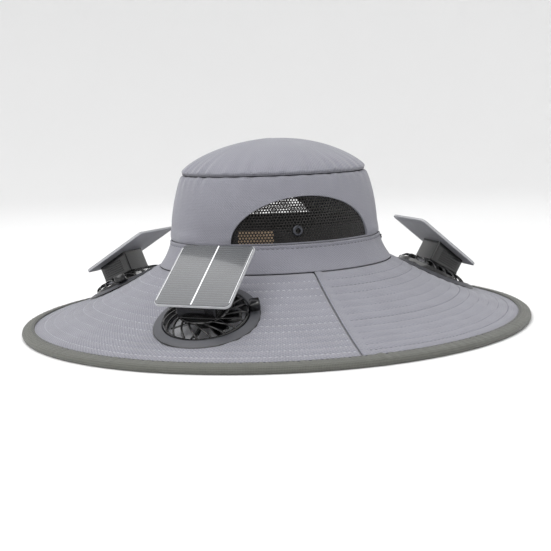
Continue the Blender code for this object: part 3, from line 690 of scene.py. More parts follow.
def build_crown(sizes):
    """Side wall with both vents, and the puffed top."""
    angles = round_angles(420)
    low = sizes.band_height + sizes.clearance
    heights = spread(low, sizes.side_height, 56)[:, None]
    points = crown_points(sizes, angles, heights)
    from_seam = sizes.side_height - heights
    from_band = heights - low
    puckers = ripple(angles, 46, 3)
    lift = (
        puckers * 0.0005 * np.exp(-from_seam / 0.007)
        + seam_tuck(from_seam, 0.0014, 0.003)
        + 0.0010 * np.exp(-((from_band - 0.005) / 0.005) ** 2) * (1 + 0.5 * ripple(angles, 9, 5))
        + ripple(angles, 30, 8) * 0.0002 * np.exp(-from_band / 0.008)
        + ripple(angles + heights * 12, 5, 11) * 0.0005 * np.sin(math.pi * from_band / from_band.max())
        + seam_tuck(from_band, 0.0010, 0.0015)
    )
    mesh = grid_mesh("crown_side_cloth", lifted(points, lift, True), metres_map(points, True), wrap=True)
    side = add_piece("crown_side_cloth", mesh, MATERIALS["twill"], ["crown_side"])
    add_solidify(side, sizes.cloth)
    cutter = bpy.data.objects.new("vent_cutter", vent_prism(sizes))
    bpy.context.scene.collection.objects.link(cutter)
    window = side.modifiers.new("Vents", "BOOLEAN")
    window.operation = "DIFFERENCE"
    window.object = cutter
    apply_modifiers(side)
    bpy.data.objects.remove(cutter)
    side.data.set_sharp_from_angle(angle=math.radians(50))

    seam_share = CROWN_SECTIONS[-1][1]
    seam_height = sizes.root_height + sizes.side_height + sizes.clearance
    shares = np.cos(spread(0.0, math.pi / 2, 64))[:, None]
    rise = sizes.seam_upright + sizes.dome_height * (1 - shares ** 2) ** 0.75
    half_width = sizes.root_half_width * seam_share * shares
    half_length = sizes.root_half_length * seam_share * shares
    points = np.stack(np.broadcast_arrays(
        half_width * np.cos(angles), half_length * np.sin(angles), seam_height + rise
    ), axis=-1)
    foot = points[:1].copy()
    foot[..., 2] = seam_height
    points = np.concatenate((foot, points))
    inward = sizes.root_half_length * seam_share * (1 - np.concatenate(([[1.0]], shares)))
    lift = (
        ripple(angles, 46, 3) * 0.0006 * np.exp(-inward / 0.010) * np.clip(inward / 0.001, 0.3, 1.0)
        + seam_tuck(inward, 0.0010, 0.0006)
        + 0.0006 * ripple(angles, 4, 21) * np.sin(np.clip(inward / inward.max(), 0, 1) * math.pi)
    )
    top_points = lifted(points, lift, True)
    flat = np.concatenate((points[..., :2], points[:, :1, :2]), axis=1)
    mesh = grid_mesh("crown_top_cloth", top_points, flat, wrap=True)
    weld = bmesh.new()
    weld.from_mesh(mesh)
    bmesh.ops.remove_doubles(weld, verts=weld.verts, dist=1e-5)
    weld.to_mesh(mesh)
    weld.free()
    top = add_piece("crown_top_cloth", mesh, MATERIALS["twill"], ["crown_top"])
    add_solidify(top, sizes.cloth)


def build_band(sizes, sewing):
    """Sewn band with its folded upper edge, its stitches, the sweatband and its cotton tab."""
    angles = round_angles(420)
    heights = spread(0.0, sizes.band_height, 30)[:, None]
    points = crown_points(sizes, angles, heights)
    from_top = sizes.band_height - heights
    lift = (
        0.0007 * np.clip(1 - (from_top - 0.0010) ** 2 / 0.0010 ** 2, 0.0, 1.0) ** 0.5
        + seam_tuck(np.abs(from_top - 0.0028), 0.0004, 0.0008)
        + ripple(angles, 34, 31) * 0.00025 * np.exp(-from_top / 0.006)
        + ripple(angles + heights * 9, 7, 33) * 0.0003 * np.sin(math.pi * heights / sizes.band_height)
    )
    shaped = lifted(points, lift, True)
    mesh = grid_mesh("band_cloth", shaped, metres_map(points, True), wrap=True)
    band = add_piece("band_cloth", mesh, MATERIALS["twill"], ["hat_band"])
    add_solidify(band, sizes.cloth)

    row = int(np.argmin(np.abs(from_top[:, 0] - 0.0028)))
    line = np.concatenate((shaped[row], shaped[row, :1]))
    normals = grid_normals(shaped, True)[row]
    normals = np.concatenate((normals, normals[:1]))
    mesh = stitch_mesh("band_stitches", [(line + normals * 0.0001, normals)], sewing)
    # The band's stitches take the thread copy painted darker: painted shade
    add_piece("band_stitches", mesh, MATERIALS["shaded_thread"])

    heights = spread(0.003, sizes.sweatband_height, 24)[:, None]
    points = crown_points(sizes, angles, heights)
    inside = -(sizes.cloth + 0.0012) + 0.0002 * ripple(angles, 40, 41)
    shaped = lifted(points, inside - 0.0003 * (heights > sizes.sweatband_height - 0.002), True)
    mesh = grid_mesh("sweatband_cloth", shaped, metres_map(points, True), wrap=True)
    sweatband = add_piece("sweatband_cloth", mesh, MATERIALS["sweatband"],
                          ["sweatband"])
    add_solidify(sweatband, 0.0012)

    # Cotton tab that shows through the near vent's lower front corner
    turns = spread(math.radians(-37), math.radians(-18), 30)
    heights = spread(0.020, 0.0335, 14)[:, None]
    points = crown_points(sizes, turns, heights)
    shaped = lifted(points, -(sizes.cloth + 0.0006))
    mesh = grid_mesh("sweatband_tab", shaped, metres_map(points))
    tab = add_piece("sweatband_tab", mesh, MATERIALS["lining"])
    add_solidify(tab, 0.0004)


def build_toggle():
    """Cord toggle at the back of the band."""
    low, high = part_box("back_toggle")
    middle = (low + high) / 2
    barrel = block_mesh("toggle_barrel", (0.0064, 0.0042, 0.0084), 0.0016, 4)
    button = turned_mesh("toggle_button", (
        (0.0, 0.0014), (0.0016, 0.0013), (0.0020, 0.0008), (0.0020, -0.0006), (0.0, -0.0006)), 24)
    lean = Matrix.Rotation(math.radians(-18), 4, "X")
    mesh = joined("toggle", [
        (barrel, Matrix.Identity(4)),
        (button, Matrix.Translation((0, 0, 0.0042))),
    ])
    place = Matrix.Translation(middle) @ lean @ Matrix.Diagonal((1, 1, TOGGLE_SQUASH, 1))
    mesh.transform(place)
    mesh.shade_smooth()
    add_piece("toggle", mesh, MATERIALS["plastic"], ["back_toggle"])


def vent_frame(sizes, side, along, height, sink):
    """Frame on the crown's side at a vent, its Z out of the cloth, sunk below its outer face."""
    share = float(read_curve(CROWN_SECTIONS, np.array([height / sizes.side_height]))[0])
    lean = math.asin(along / (sizes.root_half_length * share))
    angle = lean if side > 0 else math.pi - lean
    step = 1e-4
    here, ahead, up = (
        Vector(crown_points(sizes, np.array([a]), np.array([[h]]))[0, 0])
        for a, h in ((angle, height), (angle + step, height), (angle, height + step))
    )
    out = (ahead - here).cross(up - here).normalized()
    upward = (up - here).normalized()
    matrix = Matrix((upward, out.cross(upward), out)).transposed().to_4x4()
    matrix.translation = here - out * sink
    return matrix


def net_mesh(name, sizes, sewing, side):
    """Knitted net behind a vent, with its hexagonal holes cut through."""
    reach = sizes.vent_half_length * 1.25
    pitch = sewing.net_pitch
    row_step = pitch * math.sqrt(3) / 2
    low = sizes.band_height - 0.003
    rows = int((sizes.vent_rise + 0.010) / row_step)
    columns = int(2 * reach / pitch)
    middle_share = float(read_curve(CROWN_SECTIONS, np.array([0.5]))[0])
    half = spread(-1.05, 1.05, 400)
    line = np.stack((sizes.root_half_width * middle_share * np.cos(half),
                     sizes.root_half_length * middle_share * np.sin(half)), axis=1)
    at = np.concatenate(([0.0], np.cumsum(np.linalg.norm(np.diff(line, axis=0), axis=1))))
    at -= at[-1] / 2
    corners = round_angles(6) + math.pi / 6
    shape = bmesh.new()
    hole = (pitch - sewing.net_bar) / math.sqrt(3)
    full = pitch / math.sqrt(3)
    points = []
    for row in range(rows):
        for column in range(columns):
            u = (column - columns / 2 + (row % 2) / 2) * pitch
            v = low + row * row_step
            outline = (u / (sizes.vent_half_length * 1.16)) ** 2 + (
                max(v - sizes.band_height, 0.0) / (sizes.vent_rise + 0.006)) ** 2
            if outline <= 1.0:
                points.append((u, v))
    for u, v in points:
        for radius in (full, hole):
            ring = [(u + radius * math.cos(c), v + radius * math.sin(c)) for c in corners]
            place = []
            for ru, rv in ring:
                angle = float(np.interp(ru, at, half))
                angle = angle if side > 0 else math.pi - angle
                place.append(shape.verts.new((angle, rv, 0.0)))
            if radius == full:
                outer = place
            else:
                for i in range(6):
                    j = (i + 1) % 6
                    shape.faces.new((outer[i], outer[j], place[j], place[i]))
    bmesh.ops.remove_doubles(shape, verts=shape.verts, dist=1e-4)
    flat = np.array([v.co for v in shape.verts])
    solid = crown_points(sizes, flat[:, 0], flat[:, 1])
    normals = solid * (1 / sizes.root_half_width ** 2, 1 / sizes.root_half_length ** 2, 0.0)
    normals /= np.linalg.norm(normals, axis=1, keepdims=True)
    solid -= normals * (sizes.cloth + 0.0001)
    for vertex, place in zip(shape.verts, solid):
        vertex.co = place
    bmesh.ops.recalc_face_normals(shape, faces=shape.faces)
    mesh = bpy.data.meshes.new(name)
    shape.to_mesh(mesh)
    shape.free()
    layer = mesh.uv_layers.new(name="metres")
    uv = np.array([(mesh.vertices[loop.vertex_index].co.y, mesh.vertices[loop.vertex_index].co.z)
                   for loop in mesh.loops], np.float32)
    layer.data.foreach_set("uv", uv.ravel())
    mesh.shade_smooth()
    return mesh


def build_vents(sizes, sewing):
    """Net and eyelet of each vent, and the rolled edge of the opening."""
    eyelet = turned_mesh("eyelet", (
        (0.0019, -0.0009), (0.0019, 0.0006), (0.0022, 0.0012), (0.0030, 0.0015), (0.0039, 0.0012),
        (0.0045, 0.0004), (0.0045, 0.0001), (0.0040, 0.0001), (0.0027, 0.0004), (0.0025, -0.0009),
        (0.0019, -0.0009)), 40)
    sill = sizes.band_height + sizes.vent_sill
    for name, side in (("left", 1), ("right", -1)):
        net = add_piece(name + "_net", net_mesh(name + "_net", sizes, sewing, side), MATERIALS["net"],
                        [name + "_vent_net"])
        add_solidify(net, 0.0005, 0.0)
        place = vent_frame(sizes, side, -0.0086, 0.0322, sizes.cloth)
        add_piece(name + "_eyelet", eyelet.copy(), MATERIALS["eyelet"],
                  [name + "_vent_eyelet"], place=place)
        # The arc's rolled hem
        turns = spread(0.0, math.pi, 120)
        ys = sizes.vent_half_length * np.cos(turns)
        heights = sill + sizes.vent_rise * np.sin(turns)
        share = read_curve(CROWN_SECTIONS, heights / sizes.side_height)
        lean = np.arcsin(np.clip(ys / (sizes.root_half_length * share), -1, 1))
        angles = lean if side > 0 else math.pi - lean
        centre = crown_points(sizes, angles, heights)
        normals = centre * (1 / sizes.root_half_width ** 2, 1 / sizes.root_half_length ** 2, 0.0)
        normals /= np.linalg.norm(normals, axis=1, keepdims=True)
        tangent = np.gradient(centre, axis=0)
        tangent /= np.linalg.norm(tangent, axis=1, keepdims=True)
        sideways = np.cross(tangent, normals)
        around = round_angles(8)[None, :, None]
        middle = (centre - normals * sizes.cloth * 0.45)[:, None]
        sections = (middle + normals[:, None] * np.sin(around) * 0.00095
                    + sideways[:, None] * np.cos(around) * 0.0006)
        add_piece(name + "_vent_hem", bar_mesh(name + "_vent_hem", sections), MATERIALS["hem"])


def seam_angle(shares):
    """Angle of a brim seam at +X, which runs a little to the front towards the edge."""
    return -math.radians(2.2) * shares


def brim_lift(sizes, sewing, angles, shares):
    """Relief of the quilted brim: padded channels between the stitched rows, and soft waves."""
    phase = np.clip(shares * (sewing.rows + ROW_MARGIN) - ROW_MARGIN / 2, 0, None)
    channel = np.abs(np.sin(math.pi * phase)) ** 0.6
    swell = 1 + 0.25 * ripple(angles, 24, 51)
    waves = 0.0009 * ripple(angles, 5, 57) * np.sin(math.pi * shares)
    root = -0.0008 * np.exp(-shares / 0.006)
    return sewing.puff * (channel * swell - 0.35) + waves + root


def build_brim(sizes, sewing, fan):
    """Quilted halves of the brim with their stitches."""
    columns = 330
    shares = spread(1.0, 0.0, sewing.rows * STEPS_A_ROW + 1)[:, None]
    for name, side in (("front", -1), ("back", 1)):
        across = spread(0.0, 1.0, columns)[None, :]
        first = seam_angle(shares)
        last = math.pi - first
        if side < 0:
            first, last = last, math.tau + first
        inset = 0.00015 / (sizes.root_half_length + 0.12 * shares)
        angles = (first + inset) + (last - first - 2 * inset) * across
        points = brim_points(sizes, angles, shares)
        from_seam = np.minimum(angles - first, last - angles) * (
            sizes.root_half_width + 0.119 * shares)
        lift = brim_lift(sizes, sewing, angles, shares)
        if side > 0:
            allowance = np.clip((0.0058 - from_seam) / 0.0008, 0, 1)
            lift = lift * (1 - 0.5 * allowance) + 0.0005 * allowance
        lift = lift + seam_tuck(from_seam, 0.0011, 0.0018)
        shaped = lifted(points, lift)
        middles = (shaped[:-1, :-1] + shaped[1:, 1:]) / 2
        keep = np.ones(middles.shape[:2], bool)
        for unit in FAN_UNITS:
            local = to_frame(unit_frame(sizes, fan, unit), middles)
            near = np.hypot(local[..., 0], local[..., 1]) < (fan.hole + fan.clamp) / 2
            keep &= ~(near & (np.abs(local[..., 2]) < 0.03))
        mesh = grid_mesh("brim_" + name + "_cloth", shaped, metres_map(points), keep=keep)
        half = add_piece("brim_" + name + "_cloth", mesh, MATERIALS["quilt"],
                         ["brim_" + name])
        add_solidify(half, sizes.brim_cloth)

        paths = []
        for row in range(sewing.rows):
            share = (row + 1 + ROW_MARGIN / 2) / (sewing.rows + ROW_MARGIN)
            if share > 0.99:
                continue
            start = float(seam_angle(share))
            begin, end = (start, math.pi - start) if side > 0 else (math.pi - start, math.tau + start)
            margin = 0.0062 if side > 0 else 0.0016
            girth = sizes.root_half_width + 0.119 * share
            turns = spread(begin + margin / girth, end - margin / girth, 900)[None, :]
            band = share + spread(-0.002, 0.002, 3)[:, None]
            line = brim_points(sizes, turns, band[::-1])
            relief = brim_lift(sizes, sewing, turns, band[::-1])
            normals = grid_normals(line)[1]
            line = lifted(line, relief)[1] + normals * 0.0001
            clear = np.ones(len(line), bool)
            for unit in FAN_UNITS:
                local = to_frame(unit_frame(sizes, fan, unit), line)
                clear &= np.hypot(local[:, 0], local[:, 1]) > fan.flange + 0.0012
            for part in np.split(np.arange(len(line)), np.flatnonzero(np.diff(clear)) + 1):
                if clear[part[0]] and len(part) > 4:
                    paths.append((line[part], normals[part]))
        # Front rows take the thread copy painted lighter (painted highlight), back rows the copy painted
        # darker (painted shade)
        thread = MATERIALS["thread" if side < 0 else "shaded_thread"]
        mesh = stitch_mesh("brim_" + name + "_stitches", paths, sewing)
        add_piece("brim_" + name + "_stitches", mesh, thread)


def build_binding(sizes, sewing):
    """Ribbed tape folded round the brim's edge, with its overlapped join and its stitches."""
    angles = round_angles(600)
    edge = brim_points(sizes, angles, np.array([[1.0]]))[0]
    inner = brim_points(sizes, angles, np.array([[0.999]]))[0]
    outward = edge - inner
    outward /= np.linalg.norm(outward, axis=1, keepdims=True)
    tangent = np.roll(edge, -1, axis=0) - np.roll(edge, 1, axis=0)
    tangent /= np.linalg.norm(tangent, axis=1, keepdims=True)
    upward = np.cross(outward, tangent)
    # Distance out from the brim's edge and height over its upper face, round the folded tape
    reach = sizes.binding_width
    section = np.array((
        (-reach, 0.0004), (-reach, 0.0012), (-reach + 0.0006, 0.0017), (-reach * 0.6, 0.0016),
        (-reach * 0.3, 0.0018), (-0.0008, 0.0016), (0.0006, 0.0008), (0.0013, -0.0006),
        (0.0012, -0.0020), (0.0004, -0.0036), (-0.0020, -0.0044), (-0.0050, -0.0040),
        (-reach, -0.0036), (-reach, -0.0026), (-0.0002, -0.0024), (0.0002, -0.0010), (-0.0002, 0.0002),
    ))
    run = np.concatenate(([0.0], np.cumsum(np.linalg.norm(np.diff(edge, axis=0), axis=1))))
    outer = np.array([1.0] * 13 + [0.0] * 4)
    pucker = ripple(angles, 150, 61)[:, None] * 0.00016 * outer
    # The tape's ends overlap just behind the side seam
    join = np.exp(-((run[:, None] - 0.0045) / 0.0026) ** 6) * 0.0006 * outer
    across = section[None, :, 0] + np.where(section[:, 0] > 0, 1, 0) * (join * 0.5)
    height = section[None, :, 1] + np.where(section[:, 1] > 0, 1, -0.3) * (pucker + join)
    points = (edge[:, None] + outward[:, None] * across[..., None] + upward[:, None] * height[..., None])
    points[..., 2] = np.maximum(points[..., 2], 0.0002)
    points = np.swapaxes(points, 0, 1)
    lengths = np.concatenate(([0.0], np.cumsum(np.linalg.norm(np.diff(section, axis=0), axis=1)),
                              [0.0]))
    uv = np.stack(np.meshgrid(np.append(run, run[-1] + run[1]), lengths), axis=-1)
    mesh = grid_mesh("edge_tape", points[::-1], uv[::-1], wrap=True, wrap_rows=True)
    fix = bmesh.new()
    fix.from_mesh(mesh)
    bmesh.ops.recalc_face_normals(fix, faces=fix.faces)
    fix.to_mesh(mesh)
    fix.free()
    mesh.shade_smooth()
    add_piece("edge_tape", mesh, MATERIALS["tape"], ["brim_binding"])

    line = np.roll(edge + outward * (-reach + 0.0016) + upward * 0.0017, -8, axis=0)
    mesh = stitch_mesh("edge_stitches", [(line, np.roll(upward, -8, axis=0))], sewing)
    # The edge stitches take the thread copy painted darker: painted shade
    add_piece("edge_stitches", mesh, MATERIALS["shaded_thread"])


# Fan units ------------------------------------------------------------------


def unit_frame(sizes, fan, unit):
    """Frame of a fan unit: X out and down the brim, Z along the shaft."""
    angle, lean = FAN_UNITS[unit]
    step = 1e-4
    at = lambda a, s: Vector(brim_points(sizes, np.array([a]), np.array([s]))[0])
    here = at(angle, fan.share)
    forward = (at(angle, fan.share + step) - at(angle, fan.share - step)).normalized()
    round_hat = at(angle + step, fan.share) - at(angle - step, fan.share)
    out = forward.cross(round_hat).normalized()
    matrix = Matrix((forward, out.cross(forward), out)).transposed().to_4x4()
    matrix.translation = here
    return matrix @ Matrix.Rotation(lean, 4, "Y")


def to_frame(matrix, points):
    """Points in the frame of a matrix."""
    inverse = np.array(matrix.inverted())
    return points @ inverse[:3, :3].T + inverse[:3, 3]


def brim_heights(sizes, fan, unit, x, y):
    """Heights in a unit's frame where lines over (x, y) meet the brim's upper face."""
    matrix = unit_frame(sizes, fan, unit)
    step = 1e-4
    angle = np.full_like(x, FAN_UNITS[unit][0])
    share = np.full_like(x, fan.share)
    for _ in range(8):
        here = to_frame(matrix, brim_points(sizes, angle, share))
        turn = (to_frame(matrix, brim_points(sizes, angle + step, share)) - here) / step
        slide = (to_frame(matrix, brim_points(sizes, angle, share + step)) - here) / step
        dx, dy = x - here[..., 0], y - here[..., 1]
        cross = turn[..., 0] * slide[..., 1] - turn[..., 1] * slide[..., 0]
        angle = angle + (dx * slide[..., 1] - dy * slide[..., 0]) / cross
        share = share + (turn[..., 0] * dy - turn[..., 1] * dx) / cross
    return here[..., 2]


def ring_mesh(name, sizes, fan, unit, profile):
    """Ring that follows the brim, from a closed profile of (radius, height over the brim) points."""
    turns = round_angles(96)
    radius, lift = (np.array(column)[:, None] for column in zip(*profile))
    x, y = radius * np.cos(turns), radius * np.sin(turns)
    z = lift + brim_heights(sizes, fan, unit, x, y)
    points = np.stack((x, y, z), axis=-1)
    mesh = grid_mesh(name, points, wrap=True, wrap_rows=True)
    shape = bmesh.new()
    shape.from_mesh(mesh)
    bmesh.ops.recalc_face_normals(shape, faces=shape.faces)
    shape.to_mesh(mesh)
    shape.free()
    mesh.shade_smooth()
    mesh.set_sharp_from_angle(angle=math.radians(55))
    return mesh


def rib_sections(fan, turn):
    """Rounded sections along one swirled rib, from inside the hub over the shoulder to the ring."""
    power = 2 / 2.6
    start = fan.hub - fan.rib_width
    end = fan.hole - 0.0003 - fan.ring_wall / 2
    low = fan.ring_top / 2
    high = fan.cage_height - 0.0011
    place = lambda t: (
        start + (end - start) * math.sin(t * math.pi / 2) ** power,
        low + (high - low) * max(math.cos(t * math.pi / 2), 0.0) ** power,
    )
    sections = []
    for t in spread(0.0, 1.0, 15):
        radius, height = place(t)
        ahead, behind = place(min(t + 0.02, 1.0)), place(max(t - 0.02, 0.0))
        along = Vector((ahead[0] - behind[0], 0, ahead[1] - behind[1])).normalized()
        out = Vector((-along.z, 0, along.x))
        reach = (radius - start) / (end - start)
        spin = Matrix.Rotation(turn + math.radians(27) * reach, 3, "Z")
        centre = Vector((radius, 0, height))
        sections.append([
            spin @ (centre + out * math.sin(a) * fan.rib_thickness / 2
                    + Vector((0, math.cos(a) * fan.rib_width / 2, 0)))
            for a in round_angles(8) + math.pi / 8
        ])
    return np.array(sections)


def cage_mesh(fan):
    """Guard of a fan: hub with its motor and shaft, swirled ribs and the ring in the brim's hole."""
    outer = fan.hole - 0.0003
    inner = outer - fan.ring_wall
    top, low = fan.ring_top, -fan.ring_depth
    ring = turned_mesh("cage_ring", (
        (inner, top - 0.0005), (inner + 0.0004, top), (outer - 0.0004, top), (outer, top - 0.0005),
        (outer, low), (inner, low), (inner, top - 0.0005)), 96)
    high = fan.cage_height
    hub = turned_mesh("cage_hub", (
        (0.0, high), (fan.hub - 0.0016, high), (fan.hub - 0.0005, high - 0.0004),
        (fan.hub, high - 0.0012), (fan.hub, high - 0.0018), (0.008, high - 0.0018),
        (0.008, high - 0.0040), (0.0012, high - 0.0040), (0.0012, high - 0.0100),
        (0.0, high - 0.0100)), 72)
    ribs = [(bar_mesh("rib", rib_sections(fan, turn)), Matrix.Identity(4))
            for turn in round_angles(fan.ribs)]
    return joined("cage", [(ring, Matrix.Identity(4)), (hub, Matrix.Identity(4))] + ribs)


def impeller_mesh(fan):
    """Impeller that hangs on the motor's shaft: a rounded spinner with twisted blades."""
    top = fan.cage_height - 0.0043
    spinner = turned_mesh("spinner", (
        (0.0015, top), (0.0088, top), (0.0095, top - 0.0007), (0.0095, top - 0.0075),
        (0.0085, top - 0.0085), (0.0, top - 0.0085), (0.0, top - 0.0063), (0.0015, top - 0.0063),
        (0.0015, top)), 56)
    root = 0.0085
    chords = [row[:2] for row in BLADE_SECTIONS]
    pitches = [(row[0], row[2]) for row in BLADE_SECTIONS]
    blades = []
    for turn in round_angles(fan.blades):
        spin = Matrix.Rotation(turn, 3, "Z")
        sections = []
        for share in spread(0.0, 1.0, 9):
            chord = float(read_curve(chords, np.array([share]))[0]) * 0.011
            pitch = float(read_curve(pitches, np.array([share]))[0])
            if share > 0.9:
                chord *= 0.8
            along = Vector((0, math.cos(pitch), math.sin(pitch)))
            over = Vector((0, -math.sin(pitch), math.cos(pitch)))
            centre = Vector((root + (fan.blade_radius - root) * share, 0, top - 0.0048))
            section = []
            for a in round_angles(12):
                x = math.cos(a) * chord / 2
                camber = 0.0009 * (1 - (2 * x / chord) ** 2)
                section.append(spin @ (centre + along * x + over * (math.sin(a) * 0.0005 + camber)))
            sections.append(section)
        blades.append((bar_mesh("blade", np.array(sections)), Matrix.Identity(4)))
    return joined("impeller", [(spinner, Matrix.Identity(4))] + blades)


def housing_mesh(fan):
    """Block under the panel, with louvres on two sides and a parting line."""
    low = fan.cage_height + 0.0003
    side = fan.housing
    shape = bmesh.new()
    bmesh.ops.create_cube(shape, size=1.0)
    for vertex in shape.verts:
        x = vertex.co.x * side
        high = fan.panel_height - 0.0003 - x * math.tan(fan.panel_tilt)
        vertex.co = (x, vertex.co.y * side, high if vertex.co.z > 0 else low)
    standing = [e for e in shape.edges
                if abs(e.verts[0].co.z - e.verts[1].co.z) > 0.008 and
                abs(e.verts[0].co.x - e.verts[1].co.x) + abs(e.verts[0].co.y - e.verts[1].co.y) < 1e-6]
    bmesh.ops.bevel(shape, geom=standing, offset=0.0016, segments=4, profile=0.5, affect="EDGES")
    block = bpy.data.meshes.new("housing_block")
    shape.to_mesh(block)
    shape.free()
    parts = [(block, Matrix.Identity(4))]
    slat = block_mesh("slat", (side * 0.66, 0.0008, 0.0010), 0.0003, 2)
    rim = block_mesh("rim", (side + 0.0006, side + 0.0006, 0.0012), 0.0004, 2, upright=0.0018)
    parts.append((rim, Matrix.Translation((0, 0, low + 0.0007))))
    for face in (-1, 1):
        for i in range(6):
            height = low + 0.0034 + i * 0.0019
            shift = side * 0.06
            parts.append((slat, Matrix.Translation((shift, face * side / 2, height))))
    tab = block_mesh("tab", (0.0009, side * 0.5, 0.007), 0.0003, 2)
    parts.append((tab, Matrix.Translation((side / 2, 0, low + 0.0055))))
    mesh = joined("housing", parts)
    mesh.shade_smooth()
    mesh.set_sharp_from_angle(angle=math.radians(35))
    return mesh


def plate_outline(length_x, width_y, corner, segments=8):
    """Outline of a rounded rectangle, as an array of (x, y)."""
    points = []
    for quarter in range(4):
        turn = quarter * math.pi / 2
        centre = ((length_x / 2 - corner) * (1 if quarter in (0, 3) else -1),
                  (width_y / 2 - corner) * (1 if quarter in (0, 1) else -1))
        for a in spread(turn, turn + math.pi / 2, segments):
            points.append((centre[0] + corner * math.cos(a), centre[1] + corner * math.sin(a)))
    return np.array(points)


def plate_mesh(name, layers):
    """Closed plate through outlines, each given as (outline, height), with a map in metres."""
    sections = np.array([np.column_stack((outline, np.full(len(outline), z))) for outline, z in layers])
    mesh = bar_mesh(name, sections)
    layer = mesh.uv_layers.new(name="metres") if not mesh.uv_layers else mesh.uv_layers[0]
    uv = np.array([mesh.vertices[loop.vertex_index].co[:2] for loop in mesh.loops], np.float32)
    layer.data.foreach_set("uv", uv.ravel())
    mesh.set_sharp_from_angle(angle=math.radians(30))
    return mesh


def build_panel(fan, unit, place):
    """Solar panel: board with a pale core, cells under resin and the printed bus bar."""
    thick = fan.panel_thickness
    outline = lambda inset: plate_outline(
        fan.panel_length - 2 * inset, fan.panel_width - 2 * inset, fan.panel_corner - inset)
    board = plate_mesh("board", [
        (outline(0.0003), -thick / 2), (outline(0.0), -thick / 2 + 0.0003),
        (outline(0.0), thick / 2 - 0.0006), (outline(0.0002), thick / 2 - 0.0004)])
    resin = plate_mesh("resin", [
        (outline(0.0006), thick / 2 - 0.0004), (outline(0.0006), thick / 2 - 0.0001),
        (outline(0.0009), thick / 2)])
    add_piece(unit + "_panel_board", board, MATERIALS["board"],
              [unit + "_solar_panel"], place=place)
    add_piece(unit + "_panel_cells", resin, MATERIALS["cells"], place=place)
    bar = block_mesh("bus_bar", (fan.panel_length - 0.0022, 0.0011, 0.0002), 0.00008, 1)
    edge = block_mesh("edge_bar", (fan.panel_length - 0.009, 0.0005, 0.0002), 0.00008, 1)
    side = fan.panel_width / 2 - 0.0012
    lines = joined("bus_bars", [
        (bar, Matrix.Translation((0, 0, thick / 2))),
        (edge, Matrix.Translation((0, side, thick / 2))),
        (edge, Matrix.Translation((0, -side, thick / 2)))])
    add_piece(unit + "_bus_bar", lines, MATERIALS["silver"], place=place)


def build_unit(sizes, fan, unit, shared):
    """One fan unit on the brim."""
    place = unit_frame(sizes, fan, unit)
    lift = sizes.clearance
    flange = (
        (fan.hole + 0.0002, lift), (fan.hole + 0.0002, 0.0026), (fan.hole + 0.0007, 0.0031),
        (fan.hole + 0.0014, 0.0031), (fan.hole + 0.0024, 0.0027), (fan.flange - 0.0030, 0.0021),
        (fan.flange - 0.0012, 0.0014), (fan.flange - 0.0004, 0.0010), (fan.flange - 0.0004, lift),
    )
    # Black ring round the flange's foot, a little wider than the flange: painted shade that stands for the
    # shadow line under the flange's raised edge
    shadow_skirt = (
        (fan.flange - 0.0006, lift), (fan.flange - 0.0006, 0.0009), (fan.flange - 0.0001, 0.0008),
        (fan.flange + 0.0003, 0.0005), (fan.flange + 0.0003, lift),
    )
    under = -sizes.brim_cloth - 0.0006
    clamp = (
        (fan.hole, under), (fan.clamp - 0.0004, under), (fan.clamp, under - 0.0004),
        (fan.clamp, under - 0.0014), (fan.clamp - 0.0004, under - 0.0018), (fan.hole, under - 0.0018),
    )
    name = unit + "_flange"
    add_piece(name, ring_mesh(name, sizes, fan, unit, flange), MATERIALS["flange"],
              [unit + "_fan_flange"], place=place)
    # Black plastic ring as painted shade for the flange's shadow line
    name = unit + "_flange_shadow_skirt"
    add_piece(name, ring_mesh(name, sizes, fan, unit, shadow_skirt), MATERIALS["plastic"],
              place=place)
    name = unit + "_clamp"
    add_piece(name, ring_mesh(name, sizes, fan, unit, clamp), MATERIALS["plastic"],
              [unit + "_fan_clamp"], place=place)
    add_piece(unit + "_cage", shared["cage"].copy(), MATERIALS["plastic"],
              [unit + "_fan_cage"], place=place)
    add_piece(unit + "_impeller", shared["impeller"].copy(), MATERIALS["plastic"],
              [unit + "_fan_impeller"], body=unit + "_impeller", place=place)
    add_piece(unit + "_housing", shared["housing"].copy(), MATERIALS["plastic"],
              [unit + "_fan_housing"], place=place)
    # Pale disc at the foot of the cage: painted light for the lit floor seen from beneath through the open
    # fan
    painted_light_gauze = add_piece(unit + "_gauze", shared["painted_light_gauze"].copy(), MATERIALS["painted_light_gauze"],
                      place=place @ Matrix.Translation((0, 0, -fan.ring_depth + 0.0006)))
    painted_light_gauze.data.shade_flat()

    low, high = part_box(unit + "_fan_port")
    local = place.inverted() @ ((low + high) / 2)
    turn = math.atan2(local.y, local.x)
    port = place @ Matrix.Translation(local) @ Matrix.Rotation(turn, 4, "Z")
    add_piece(unit + "_port", shared["port"].copy(), MATERIALS["plastic"],
              [unit + "_fan_port"], place=port)
    panel = (
        place @ Matrix.Translation((0, 0, fan.panel_height))
        @ Matrix.Rotation(fan.panel_tilt, 4, "Y")
        @ Matrix.Translation((-fan.panel_offset, 0, fan.panel_thickness / 2))
    )
    build_panel(fan, unit, panel)


def painted_light_gauze_mesh(fan):
    """Round pale disc at the foot of a cage: a guessed guard net, made pale as painted light for the floor
    seen through the fan.
    """
    radius = fan.hole - 0.0003 - fan.ring_wall
    mesh = turned_mesh("painted_light_gauze", ((0.0, 0.0003), (radius, 0.0003), (radius, 0.0), (0.0, 0.0)), 64)
    layer = mesh.uv_layers[0]
    uv = np.array([mesh.vertices[loop.vertex_index].co[:2] for loop in mesh.loops], np.float32)
    layer.data.foreach_set("uv", uv.ravel())
    return mesh


def port_mesh():
    """Small rounded block with a raised lip on its outer face."""
    body = block_mesh("port_body", (0.0078, 0.0098, 0.0068), 0.0012, 3)
    lip = block_mesh("port_lip", (0.0008, 0.0066, 0.0034), 0.0003, 2)
    return joined("port", [(body, Matrix.Identity(4)), (lip, Matrix.Translation((0.0038, 0, 0)))])


# Stage ----------------------------------------------------------------------


